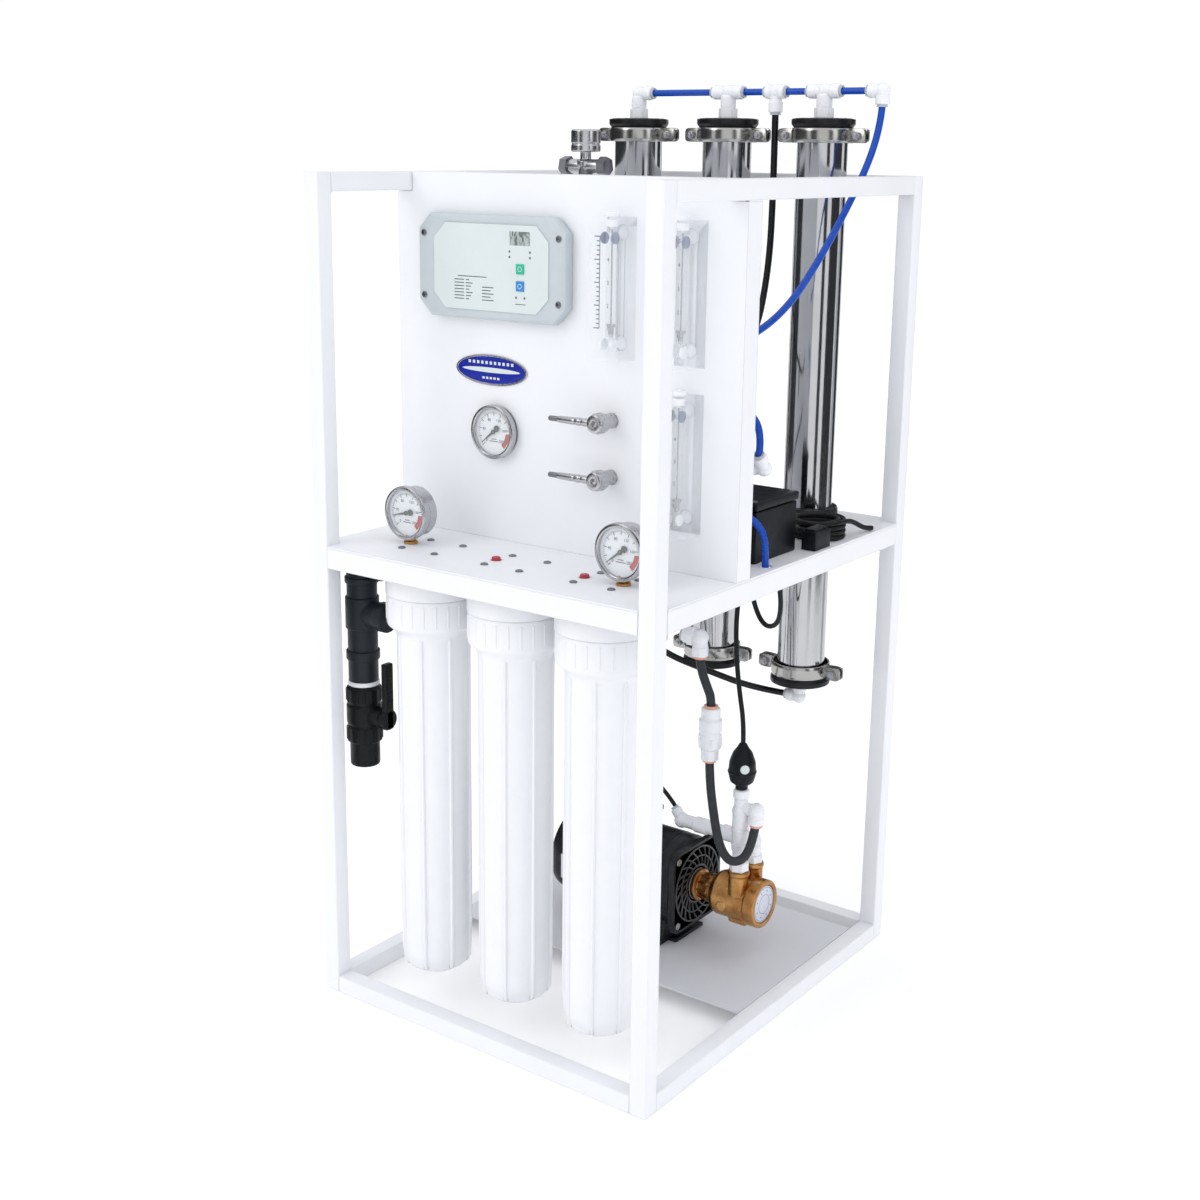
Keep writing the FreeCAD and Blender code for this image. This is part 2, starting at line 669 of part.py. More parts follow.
def membrane_end_caps():
    """Plugs with a wide flange; the seal groove is turned in the plug."""
    caps = []
    for x in MEMBRANE_X:
        for z, axis in ((MEMBRANE_TOP, Z_DIR * -1), (MEMBRANE_BOTTOM, Z_DIR)):
            plug_r = MEMBRANE_R - 2.2
            seal_r = MEMBRANE_R - 5.6
            profile = [(6, 0), (CAP_R, 0), (CAP_R + 1, 3), (CAP_R, 8), (MEMBRANE_R + 4.5, 14),
                       (plug_r, 14), (plug_r, 32), (seal_r, 32), (seal_r, 36), (plug_r, 36),
                       (plug_r, 44), (10, 44), (10, 6), (6, 6)]
            caps.append(lathe(profile, (x, MEMBRANE_Y, z), axis))
    save("membrane_end_caps", caps)


def clamp_levels():
    return [MEMBRANE_TOP - 33, MEMBRANE_BOTTOM + 13]


CLAMP_H = 20.0
EAR_REACH = 68.0


def band_clamps():
    """Two half rings at each end, closed by ears on the left and right."""
    halves = []
    for x in MEMBRANE_X:
        for z0 in clamp_levels():
            z1 = z0 + CLAMP_H
            for side in (-1, 1):
                band = ring(MEMBRANE_R + 8.5, MEMBRANE_R + 5.2, (x, MEMBRANE_Y, z0), (x, MEMBRANE_Y, z1))
                ears = []
                for x0, x1 in ((x - EAR_REACH, x - 41), (x + 41, x + EAR_REACH)):
                    y0, y1 = sorted((MEMBRANE_Y + side * 3, MEMBRANE_Y + side * 6.5))
                    ears.append(box(x0, x1, y0, y1, z0, z1))
                y0, y1 = sorted((MEMBRANE_Y + side * 3, MEMBRANE_Y + side * 60))
                half = fuse([band] + ears).common(box(x - 90, x + 90, y0, y1, z0, z1))
                for bolt_x in (x - 56, x + 56):
                    z = (z0 + z1) / 2
                    half = half.cut(rod(3.2, (bolt_x, MEMBRANE_Y - 20, z), (bolt_x, MEMBRANE_Y + 20, z)))
                halves.append(half)
    save("band_clamps", halves)


def clamp_bolts():
    bolts = []
    for x in MEMBRANE_X:
        for z0 in clamp_levels():
            z = z0 + CLAMP_H / 2
            for bolt_x in (x - 56, x + 56):
                y = MEMBRANE_Y
                bolts.append(fuse([
                    nut(10.0, (bolt_x, y - 11, z), (bolt_x, y - 6.5, z)),
                    rod(3.0, (bolt_x, y - 6.5, z), (bolt_x, y + 14, z)),
                    nut(10.0, (bolt_x, y + 6.5, z), (bolt_x, y + 11.5, z)),
                ]))
    save("clamp_bolts", bolts)


def membrane_elements():
    """Wound membrane elements round their permeate tubes."""
    z0 = MEMBRANE_BOTTOM + 48
    z1 = MEMBRANE_TOP - 48
    save("membrane_elements", [ring(MEMBRANE_R - 4.5, 9.5, (x, MEMBRANE_Y, z0), (x, MEMBRANE_Y, z1))
                               for x in MEMBRANE_X])


def membrane_collars():
    """Split collars that hold the membrane housings on the shelf."""
    halves = []
    for x in MEMBRANE_X:
        for side in (-1, 1):
            collar = ring(MEMBRANE_R + 9, MEMBRANE_R + 0.2, (x, MEMBRANE_Y, SHELF_TOP),
                          (x, MEMBRANE_Y, SHELF_TOP + 24))
            y0, y1 = sorted((MEMBRANE_Y + side * 1, MEMBRANE_Y + side * 60))
            halves.append(collar.common(box(x - 60, x + 60, y0, y1, SHELF_TOP, SHELF_TOP + 24)))
    save("membrane_collars", halves)


# ---------------------------------------------------------------- pump and motor

def along_shaft(x):
    return (x, SHAFT_Y, SHAFT_Z)


def pump_body():
    start = MOTOR_FACE_X + 2
    profile = [(8.2, 0), (24, 0), (24, 5), (18, 7), (18, 20), (22, 24), (22, 31), (31, 37),
               (33.5, 42), (33.5, 94), (36, 97), (36, 114), (28, 114), (28, 110), (17, 110),
               (17, 30), (8.2, 30)]
    body = lathe(profile, along_shaft(start), X_DIR)
    for y in PORT_Y:
        port = rod(16.0, (PUMP_PORT_X, y, SHAFT_Z + 22), (PUMP_PORT_X, y, PUMP_PORT_TOP))
        body = body.fuse(port.cut(rod(22.0, along_shaft(start), along_shaft(PUMP_FACE_X))))
    for y in PORT_Y:
        body = body.cut(rod(7.0, (PUMP_PORT_X, y, PUMP_PORT_TOP - 12), (PUMP_PORT_X, y, PUMP_PORT_TOP + 1)))
    save("pump_body", body.removeSplitter())


def pump_faceplate():
    save("pump_faceplate", rod(27.8, along_shaft(PUMP_FACE_X - 3.8), along_shaft(PUMP_FACE_X - 1.2)))


def motor_shell():
    """Finned end bells on a plain drum, with a square flange at the pump end."""
    back = MOTOR_FACE_X - MOTOR_LENGTH
    length = MOTOR_LENGTH
    profile = [(8.3, 0), (50, 0), (60, 8), (MOTOR_R - 2, 30), (MOTOR_R, 32), (MOTOR_R, length - 34),
               (MOTOR_R - 2, length - 32), (62, length - 6), (40, length), (8.3, length),
               (8.3, length - 8), (64, length - 14), (64, 14), (8.3, 8)]
    drum = lathe(profile, along_shaft(back), X_DIR)
    fins = []
    for step in range(12):
        fin = box(MOTOR_FACE_X - 30, MOTOR_FACE_X - 2, -2, 2, 44, MOTOR_R + 1)
        fin.rotate(Vec(0, 0, 0), X_DIR, 30 * step)
        fin.translate(Vec(0, SHAFT_Y, SHAFT_Z))
        fins.append(fin)
    terminal = box(back + 70, back + 150, SHAFT_Y - 30, SHAFT_Y + 30, SHAFT_Z + 60, SHAFT_Z + 96)
    terminal = terminal.cut(rod(65.0, along_shaft(back), along_shaft(MOTOR_FACE_X)))
    half = FLANGE_HALF
    flange = box(MOTOR_FACE_X - 11.5, MOTOR_FACE_X, SHAFT_Y - half, SHAFT_Y + half,
                 SHAFT_Z - half, SHAFT_Z + half)
    upright = [e for e in flange.Edges if abs(e.tangentAt(e.FirstParameter).x) > 0.9]
    flange = flange.makeFillet(20.0, upright).cut(rod(30.0, along_shaft(back), along_shaft(MOTOR_FACE_X + 1)))
    save("motor_shell", fuse([drum, terminal, flange] + fins))


def motor_base():
    """A cradle of two feet on a base strip, under the drum."""
    back = MOTOR_FACE_X - MOTOR_LENGTH
    x0, x1 = back + 30, MOTOR_FACE_X - 12
    strip = box(x0, x1, SHAFT_Y - 60, SHAFT_Y + 60, TUBE, TUBE + 5)
    feet = [strip]
    for left in (x0, x1 - 26):
        feet.append(box(left, left + 26, SHAFT_Y - 62, SHAFT_Y + 62, TUBE, SHAFT_Z - 34))
    drum = rod(MOTOR_R + 0.2, along_shaft(back), along_shaft(MOTOR_FACE_X + 1))
    save("motor_base", fuse(feet).cut(drum))


def drive_shaft():
    """Rotor, cooling fan and pump rotor on one shaft."""
    back = MOTOR_FACE_X - MOTOR_LENGTH
    turned = [
        rod(8.2 - 0.1, along_shaft(back - 4), along_shaft(MOTOR_FACE_X + 36)),
        rod(44.0, along_shaft(back + 60), along_shaft(back + 170)),
        rod(52.0, along_shaft(back + 26), along_shaft(back + 30)),
        rod(16.0, along_shaft(MOTOR_FACE_X + 36), along_shaft(PUMP_FACE_X - 8)),
    ]
    save("drive_shaft", fuse(turned))


# ---------------------------------------------------------------- feed line

def feed_pipe():
    """Vertical pipe with a side tee, and an elbow at the top into the first head."""
    head_side = FILTER_X[0] - 72
    solids = fuse([
        rod(FEED_R, (FEED_X, FEED_Y, 452), (FEED_X, FEED_Y, PORT_Z)),
        rod(FEED_R, (FEED_X, FEED_Y, 530), (FEED_X, FEED_Y, 596)),
        rod(19.0, (FEED_X, FEED_Y, 553), (FEED_X + 51, FEED_Y, 553)),
        Part.makeSphere(FEED_R, Vec(FEED_X, FEED_Y, PORT_Z)),
        rod(19.0, (FEED_X, FEED_Y, PORT_Z), (head_side, FEED_Y, PORT_Z)),
    ])
    save("feed_pipe", solids)


def feed_valve():
    """Ball valve body with a union nut at each end and a stub below."""
    profile = [(0, 0), (20, 0), (21, 2), (21, 34), (24.5, 36), (24.5, 58), (23.5, 60),
               (25, 64), (25, 88), (23.5, 92), (24.5, 94), (24.5, 114), (22, 116), (22, 121), (0, 121)]
    body = lathe(profile, (FEED_X, FEED_Y, 331))
    stem_end = FEED_X + 38
    neck = rod(15.0, (FEED_X, FEED_Y, FEED_VALVE_Z), (stem_end, FEED_Y, FEED_VALVE_Z))
    socket = rod(6.05, (stem_end - 10, FEED_Y, FEED_VALVE_Z), (stem_end + 1, FEED_Y, FEED_VALVE_Z))
    save("feed_valve", fuse([body, neck]).cut(socket))


def feed_handle():
    stem_end = FEED_X + 38
    x0, x1 = stem_end + 0.5, stem_end + 12
    hub = rod(15.0, (x0, FEED_Y, FEED_VALVE_Z), (x1, FEED_Y, FEED_VALVE_Z))
    stem = rod(6.0, (stem_end - 9.5, FEED_Y, FEED_VALVE_Z), (x0 + 1, FEED_Y, FEED_VALVE_Z))
    blade = box(x0 + 1.5, x1, FEED_Y - 8, FEED_Y + 8, FEED_VALVE_Z - 15, FEED_VALVE_Z + 82)
    save("feed_handle", fuse([hub, stem, blade]))


# ---------------------------------------------------------------- fittings and tubing

def elbow(radius, corner, arm_a, arm_b):
    """Two round arms that meet at a ball."""
    corner = Vec(*corner)
    return fuse([
        Part.makeSphere(radius, corner),
        rod(radius, corner, corner + Vec(*arm_a)),
        rod(radius, corner, corner + Vec(*arm_b)),
    ])


def push_fittings():
    """White push-fit elbows, tees and couplings on the tubing."""
    cap = MEMBRANE_TOP
    fittings = []
    for index, x in enumerate(MEMBRANE_X):
        parts = [nut(24.0, (x, MEMBRANE_Y, cap), (x, MEMBRANE_Y, cap + 14)),
                 rod(11.0, (x, MEMBRANE_Y, cap + 14), (x, MEMBRANE_Y, LINE_Z)),
                 Part.makeSphere(11.0, Vec(x, MEMBRANE_Y, LINE_Z)),
                 rod(10.0, (x, MEMBRANE_Y, LINE_Z), (x + 24, MEMBRANE_Y, LINE_Z))]
        if index:
            parts.append(rod(10.0, (x - 24, MEMBRANE_Y, LINE_Z), (x, MEMBRANE_Y, LINE_Z)))
        fittings.append(fuse(parts))
    fittings.append(elbow(10.0, END_ELBOW, (-22, 0, 0), (0, 0, -20)))
    fittings.append(elbow(10.0, LINE_TEE, (-16, 0, 0), (16, 0, 0)).fuse(
        rod(9.0, LINE_TEE, Vec(*LINE_TEE) - Z_DIR * 30)))
    fittings.append(elbow(11.0, FEED_ELBOW, (-30, 0, 8), (0, 0, -30)))
    fittings.append(fuse([
        rod(14.0, (*CHECK_PLACE, CHECK_TOP - 16), (*CHECK_PLACE, CHECK_TOP)),
        rod(17.0, (*CHECK_PLACE, CHECK_BOTTOM + 16), (*CHECK_PLACE, CHECK_TOP - 16)),
        rod(13.0, (*CHECK_PLACE, CHECK_BOTTOM), (*CHECK_PLACE, CHECK_BOTTOM + 16)),
    ]))
    inlet = (PUMP_PORT_X, PORT_Y[0])
    fittings.append(fuse([
        rod(12.0, (*inlet, PUMP_PORT_TOP), (*inlet, PUMP_PORT_TOP + 14)),
        rod(10.0, (*inlet, PUMP_PORT_TOP + 14), (*inlet, SWITCH_BOTTOM)),
        rod(12.0, (*inlet, 196), (*inlet, 262)),
        rod(9.0, (*inlet, 262), (PUMP_PORT_X + 24, PORT_Y[0], 262)),
        Part.makeSphere(10.0, Vec(PUMP_PORT_X + 26, PORT_Y[0], 262)),
        rod(9.5, (PUMP_PORT_X + 26, PORT_Y[0], 262), (PUMP_PORT_X + 26, PORT_Y[0], 240)),
    ]))
    outlet = (PUMP_PORT_X, PORT_Y[1])
    fittings.append(fuse([
        nut(24.0, (*outlet, PUMP_PORT_TOP), (*outlet, PUMP_PORT_TOP + 12)),
        rod(11.0, (*outlet, PUMP_PORT_TOP + 12), (*outlet, OUTLET_Z)),
        Part.makeSphere(11.0, Vec(*outlet, OUTLET_Z)),
        rod(10.0, (*outlet, OUTLET_Z), (40, PORT_Y[1], OUTLET_Z)),
        Part.makeSphere(12.0, Vec(40, PORT_Y[1], OUTLET_Z)),
        rod(9.0, (40, PORT_Y[1], OUTLET_Z), (26, PORT_Y[1], OUTLET_Z + 20)),
    ]))
    fittings.append(elbow(11.0, LOW_ELBOW, (-22, 0, 0), (0, 0, 24)))
    fittings.append(elbow(10.0, PANEL_ELBOW, (-20, 0, 0), (0, -14, 18)))
    save("push_fittings", fittings)


END_ELBOW = (257.0, MEMBRANE_Y, LINE_Z)
LINE_TEE = (92.0, MEMBRANE_Y, LINE_Z)
FEED_ELBOW = (100.0, 60.0, 508.0)
CHECK_PLACE = (121.0, 60.0)
CHECK_TOP = 408.0
CHECK_BOTTOM = 330.0
SWITCH_BOTTOM = 290.0
OUTLET_Z = 196.0
LOW_ELBOW = (169.0, MEMBRANE_Y, 390.0)
PANEL_ELBOW = (250.0, -36.0, 785.0)


def blue_tubes():
    """Permeate line over the membranes and down to the flowmeters."""
    tubes = []
    for left, right in ((MEMBRANE_X[0] + 12, LINE_TEE[0] - 89), (MEMBRANE_X[1] + 12, LINE_TEE[0] - 4),
                        (LINE_TEE[0] + 4, MEMBRANE_X[2] - 12), (MEMBRANE_X[2] + 12, END_ELBOW[0] - 10)):
        tubes.append((left, right))
    shapes = [rod(BLUE_D / 2, (left, MEMBRANE_Y, LINE_Z), (right, MEMBRANE_Y, LINE_Z))
              for left, right in tubes]
    meter_x, low, high = METERS[1]
    shapes.append(hose("permeate drop", [
        (257, 230, 1242), (256, 229, 1218), (249, 218, 1172), (246, 176, 1120), (245, 105, 1051),
        (244, 30, 992), (236, -36, 958), (214, -78, 945), (meter_x, -111, low + METER_PORT)], BLUE_D))
    meter_x, low, high = METERS[2]
    shapes.append(hose("meter link", [
        (meter_x, -111, high - METER_PORT), (210, -78, 872), (238, -50, 858), (252, -48, 830),
        (250, -50, 803)], BLUE_D))
    shapes.append(hose("permeate out", [
        (meter_x, -111, low + METER_PORT), (210, -84, 736), (240, -64, 730), (261, -50, 708),
        (262, -44, 672), (262, -44, 640)], BLUE_D))
    save("blue_tubes", shapes)


def black_tubes():
    """Concentrate and feed tubes between fittings."""
    upper, lower = VALVE_Z
    back = PANEL_BACK_Y + 38
    shapes = [hose("line branch", [
        (92, 230, 1232), (92, 231, 1170), (92, 231, 1110), (92, 229, 1050), (92, 221, 1000),
        (92, 206, 950), (92, 178, 908), (91, 130, 880), (89, 70, 860), (87, 0, 848),
        (VALVE_X, -60, upper), (VALVE_X, back, upper)], BLACK_D)]
    shapes.append(hose("low cross tube", [
        (147, 230, 390), (106, 196, 400), (62, 144, 430), (14, 100, 458), (-34, 72, 500),
        (-56, 62, 556), (-60, 60, 606), (-60, 60, 674), (-38, 36, 716), (24, -20, 748),
        (VALVE_X, -58, lower), (VALVE_X, back, lower)], BLACK_D))
    shapes.append(hose("feed drop", [
        (100, 60, 478), (102, 60, 462), (114, 60, 436), (121, 60, 422), (121, 60, 404)], HOSE_D))
    shapes.append(hose("pump loop", [
        (121, 60, 334), (122, 60, 300), (134, 54, 252), (150, 46, 208), (170, 44, 188), (190, 52, 196),
        (194, 66, 222), (192, 77, 244)], HOSE_D))
    shapes.append(hose("switch tube", [
        (30, 117, 212), (18, 117, 226), (-4, 110, 250), (-30, 96, 290), (-60, 80, 350)], 6.5))
    save("black_tubes", shapes)


def pressure_switch():
    profile = [(0, 0), (9, 0), (9, 6), (17, 12), (20, 26), (19, 42), (14, 56), (8, 64), (5, 70), (0, 70)]
    save("pressure_switch", lathe(profile, (PUMP_PORT_X, PORT_Y[0], SWITCH_BOTTOM)))


# ---------------------------------------------------------------- electrics

def electrical_box():
    """Contactor enclosure on the shelf, with its cord gland, and a relay beside it."""
    body = box(166, 248, -48, 58, SHELF_TOP, SHELF_TOP + 70)
    lid = box(164, 250, -50, 60, SHELF_TOP + 70, SHELF_TOP + 82)
    gland = rod(8.0, (228, 58, SHELF_TOP + 22), (228, 72, SHELF_TOP + 22))
    relay = box(252, 274, 66, 108, SHELF_TOP, SHELF_TOP + 26)
    save("electrical_box", [fuse([body, lid, gland]), relay])


def control_cables():
    """Cables held at both ends: to the switch, the motor and back to the box."""
    shapes = [hose("switch cable", [
        (166, 77, 360), (166, 77, 390), (156, 78, 436), (146, 82, 492), (140, 90, 548),
        (145, 96, 604), (146, 92, SHELF_TOP + 4)], 7.0)]
    shapes.append(hose("motor cable", [
        (230, 46, SHELF_TOP), (230, 46, 622), (226, 66, 576), (206, 92, 538), (178, 104, 528),
        (160, 104, 556), (154, 98, 604), (154, 92, SHELF_TOP + 4)], 7.0))
    save("control_cables", shapes)


CORD_D = 7.0
CORD_POINTS = [
    (228, 72, 681), (228, 87, 681), (234, 100, 678), (244, 112, 673), (255, 123, 667),
]
TAIL_POINTS = [
    (267.4, 160, 683.5), (267, 176, 681), (267.5, 190, 676), (269, 204, 669), (271, 218, 664.4),
    (273.5, 231, 662.9),
]


def power_cord():
    """The run from the box to the coil, and the loose end that leaves the coil."""
    runs = [hose("power cord", CORD_POINTS, CORD_D), hose("cord tail", TAIL_POINTS, CORD_D)]
    save("power_cord", runs)


def cord_coil():
    """Outer shape of the cord's coil on the shelf."""
    save("cord_coil", ring(41.0, 25.5, (230, 150, SHELF_TOP), (230, 150, SHELF_TOP + 28.5)))


def main():
    os.makedirs("parts", exist_ok=True)
    corner_posts()
    frame_rails()
    base_plate()
    shelf_plate()
    shelf_lips()
    control_panel()
    panel_screws()
    controller_case()
    controller_cover()
    controller_overlay()
    controller_display()
    cover_screws()
    control_keys()
    oval_plate()
    gauge_cases()
    gauge_dials()
    gauge_lenses()
    gauge_needles()
    flowmeter_bodies()
    flowmeter_fittings()
    flowmeter_floats()
    valve_bodies()
    valve_levers()
    filter_heads()
    head_screws()
    filter_sumps()
    filter_cartridges()
    o_rings()
    relief_buttons()
    membrane_housings()
    membrane_end_caps()
    band_clamps()
    clamp_bolts()
    membrane_elements()
    membrane_collars()
    pump_body()
    pump_faceplate()
    motor_shell()
    motor_base()
    drive_shaft()
    feed_pipe()
    feed_valve()
    feed_handle()
    push_fittings()
    blue_tubes()
    black_tubes()
    pressure_switch()
    electrical_box()
    control_cables()
    power_cord()
    cord_coil()


main()
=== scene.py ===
"""Looks of the reverse osmosis unit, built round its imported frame.

Places and sizes are in millimetres, in the row frame: origin at the centre of the
footprint on the floor, +X right, +Y back, +Z up. A piece turns into metres as it is finished.
"""
import bmesh
import bpy
import math
from mathutils import Matrix, Vector


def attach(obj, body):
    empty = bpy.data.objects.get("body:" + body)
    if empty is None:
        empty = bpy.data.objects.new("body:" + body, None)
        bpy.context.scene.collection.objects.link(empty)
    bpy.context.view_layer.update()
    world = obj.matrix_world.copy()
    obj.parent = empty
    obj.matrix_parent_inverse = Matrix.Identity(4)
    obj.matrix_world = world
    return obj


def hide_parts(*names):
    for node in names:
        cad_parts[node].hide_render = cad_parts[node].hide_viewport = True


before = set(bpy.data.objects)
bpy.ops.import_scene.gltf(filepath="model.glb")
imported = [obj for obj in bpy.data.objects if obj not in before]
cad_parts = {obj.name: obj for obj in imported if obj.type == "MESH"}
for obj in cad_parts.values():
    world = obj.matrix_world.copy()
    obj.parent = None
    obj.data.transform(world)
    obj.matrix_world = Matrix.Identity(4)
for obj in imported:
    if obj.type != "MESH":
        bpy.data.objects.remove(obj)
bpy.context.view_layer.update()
MM = 0.001
X, Y, Z = Vector((1, 0, 0)), Vector((0, 1, 0)), Vector((0, 0, 1))

# Stand
HALF_X, HALF_Y, HEIGHT, TUBE = 280.0, 322.0, 1150.0, 25.4
SHELF_TOP = 659.0
# Panel and its instruments
PANEL_Y, PANEL_BACK_Y = -144.0, -141.0
CASE_X, CASE_Z, CASE_CUT = (-228.0, 23.0), (960.0, 1097.0), 20.0
CASE_FRONT_Y, COVER_Y = -150.0, -162.0
OVERLAY_INSET_X, OVERLAY_INSET_Z = 27.0, 11.0
SCREW_INSET_X, SCREW_INSET_Z = 11.0, 27.0
KEY_X, KEY_Z, KEY_HALF = -51.0, (1029.0, 1007.0), 6.5
DISPLAY_X, DISPLAY_Z = (-69.0, -35.0), (1059.0, 1077.0)
BADGE = Vector((-114.0, PANEL_Y, 891.0))
GAUGES = {"panel": Vector((-104, -158, 809)), "left": Vector((-180, -250, 702)),
          "right": Vector((174, -250, 702))}
METERS = [(97.5, 923.0, 1101.0), (202.0, 922.0, 1100.0), (202.0, 713.0, 889.0)]
METER_FRONT_Y, METER_BORE_Y, METER_PORT = -184.0, -165.0, 20.0
VALVE_X, VALVE_Z = 86.0, {"upper": 843.0, "lower": 769.0}
RELIEF_VALVE = Vector((7, -100, 1160))
FLANGE_SCREW_Y = -128.5
# Filters and membranes
FILTERS = {"left": -141.0, "middle": 3.0, "right": 147.0}
FILTER_Y, SUMP_BOTTOM = -237.0, 43.0
MEMBRANE_X, MEMBRANE_Y = (-141.0, 14.0, 169.0), 230.0
MEMBRANE_Z = (414.0, 1226.0)
LINE_Z = 1262.0
# Pump and motor
SHAFT = Vector((0, 97, 112))
MOTOR_X, PUMP_X = (-151.0, 84.0), (86.0, 200.0)
PORT_X, PORT_Y, PORT_TOP = 166.0, (77.0, 117.0), 164.0
# Feed line
FEED_X, FEED_Y, FEED_VALVE_Z = -255.0, -257.0, 405.0


# ---------------------------------------------------------------- camera

CAMERA_PLACE = (1.3159, -1.8578, 1.1830)
CAMERA_YAW, CAMERA_PITCH, CAMERA_ROLL = 36.42, 13.61, -0.639
CAMERA_SENSOR, CAMERA_LENS, CAMERA_SHIFT = 36.0, 49.81, (0.0093, -0.0418)


def make_camera():
    """The camera stands to the right of the front and looks slightly down."""
    yaw, pitch, roll = (math.radians(angle) for angle in (CAMERA_YAW, CAMERA_PITCH, CAMERA_ROLL))
    ahead = Vector((-math.sin(yaw) * math.cos(pitch), math.cos(yaw) * math.cos(pitch), -math.sin(pitch)))
    level = Vector((math.cos(yaw), math.sin(yaw), 0))
    down = ahead.cross(level)
    right = level * math.cos(roll) + down * math.sin(roll)
    up = level * math.sin(roll) - down * math.cos(roll)
    data = bpy.data.cameras.new("camera")
    data.sensor_width = CAMERA_SENSOR
    data.lens = CAMERA_LENS
    data.shift_x, data.shift_y = CAMERA_SHIFT
    camera = bpy.data.objects.new("camera", data)
    bpy.context.scene.collection.objects.link(camera)
    axes = Matrix((right, up, -ahead)).transposed().to_4x4()
    camera.matrix_world = Matrix.Translation(CAMERA_PLACE) @ axes
    bpy.context.scene.camera = camera


make_camera()


# ---------------------------------------------------------------- materials

class Paint:
    """A principled material whose colour, roughness and relief come from procedural noise."""

    def __init__(self, name, roughness=0.4, metallic=0.0, coat=0.0, edge=0.0, **sockets):
        self.material = bpy.data.materials.new(name)
        self.material.use_nodes = True
        self.nodes = self.material.node_tree.nodes
        self.links = self.material.node_tree.links
        self.shader = self.nodes["Principled BSDF"]
        self.shader.inputs["Roughness"].default_value = roughness
        self.shader.inputs["Metallic"].default_value = metallic
        self.shader.inputs["Coat Weight"].default_value = coat
        for socket, value in sockets.items():
            self.shader.inputs[socket.replace("_", " ")].default_value = value
        self.place = self.nodes.new("ShaderNodeTexCoord").outputs["Object"]
        self.normal = None
        if edge:
            bevel = self.nodes.new("ShaderNodeBevel")
            bevel.samples = 4
            bevel.inputs["Radius"].default_value = edge * MM
            self.set_normal(bevel.outputs["Normal"])

    def set_normal(self, output):
        self.links.new(output, self.shader.inputs["Normal"])
        self.normal = output

    def noise(self, size, detail=3.0, stretch=(1, 1, 1), roughness=0.55):
        """Noise whose features are about size millimetres across."""
        mapping = self.nodes.new("ShaderNodeMapping")
        mapping.inputs["Scale"].default_value = [1 / s for s in stretch]
        self.links.new(self.place, mapping.inputs["Vector"])
        noise = self.nodes.new("ShaderNodeTexNoise")
        noise.inputs["Scale"].default_value = 1 / (size * MM)
        noise.inputs["Detail"].default_value = detail
        noise.inputs["Roughness"].default_value = roughness
        self.links.new(mapping.outputs["Vector"], noise.inputs["Vector"])
        return noise.outputs["Fac"]

    def spread(self, value, low, high, start=0.3, end=0.7):
        ranged = self.nodes.new("ShaderNodeMapRange")
        for name, number in (("From Min", start), ("From Max", end), ("To Min", low), ("To Max", high)):
            ranged.inputs[name].default_value = number
        self.links.new(value, ranged.inputs["Value"])
        return ranged.outputs["Result"]

    def colour(self, value, *stops):
        """Colours along a ramp: (position, (r, g, b)) stops."""
        ramp = self.nodes.new("ShaderNodeValToRGB")
        while len(ramp.color_ramp.elements) < len(stops):
            ramp.color_ramp.elements.new(0.5)
        for element, (position, rgb) in zip(ramp.color_ramp.elements, stops):
            element.position = position
            element.color = (*rgb, 1)
        self.links.new(value, ramp.inputs["Fac"])
        self.links.new(ramp.outputs["Color"], self.shader.inputs["Base Color"])
        return self

    def rough(self, value, low, high):
        self.links.new(self.spread(value, low, high), self.shader.inputs["Roughness"])
        return self

    def relief(self, value, depth, strength=1.0):
        """Bump whose full height is depth millimetres."""
        bump = self.nodes.new("ShaderNodeBump")
        bump.inputs["Distance"].default_value = depth * MM
        bump.inputs["Strength"].default_value = strength
        self.links.new(value, bump.inputs["Height"])
        if self.normal:
            self.links.new(self.normal, bump.inputs["Normal"])
        self.set_normal(bump.outputs["Normal"])
        return self


def around(rgb, share):
    """Two stops, a share darker and a share lighter than a colour."""
    return [(0.3, [c * (1 - share) for c in rgb]), (0.7, [min(1, c * (1 + share)) for c in rgb])]


def powder(name, rgb, edge=1.5):
    """Powder coat: faint orange peel and a soft sheen."""
    paint = Paint(name, edge=edge)
    paint.colour(paint.noise(90), *around(rgb, 0.015))
    paint.rough(paint.noise(30), 0.36, 0.48)
    return paint.relief(paint.noise(1.6, 2), 0.03, 0.5).material


def plastic(name, rgb, low=0.28, high=0.4, tint=0.03, grain=0.8, depth=0.015, coat=0.0, edge=0.4, sheen=0.5):
    """Moulded plastic: slight flow marks and a fine grain."""
    paint = Paint(name, coat=coat, edge=edge, Specular_IOR_Level=sheen)
    paint.colour(paint.noise(25, 4), *around(rgb, tint))
    paint.rough(paint.noise(12, 5), low, high)
    return paint.relief(paint.noise(grain, 3), depth, 0.6).material


def steel(name, rgb, low, high, stretch=(1, 1, 30), size=0.5, depth=0.01):
    """Brushed or drawn metal with fine lines along one axis."""
    paint = Paint(name, metallic=1.0, edge=0.3)
    lines = paint.noise(size, 3, stretch)
    paint.colour(paint.noise(40, 4), *around(rgb, 0.05))
    paint.rough(lines, low, high)
    return paint.relief(lines, depth, 0.35).material


def clear(name, rgb, cover, roughness=0.03):
    """A clear sheet or block: mostly see-through, with a sharp gloss."""
    paint = Paint(name, IOR=1.49, Alpha=cover)
    paint.colour(paint.noise(20, 2), *around(rgb, 0.01))
    return paint.rough(paint.noise(14, 3), roughness, roughness + 0.05).material


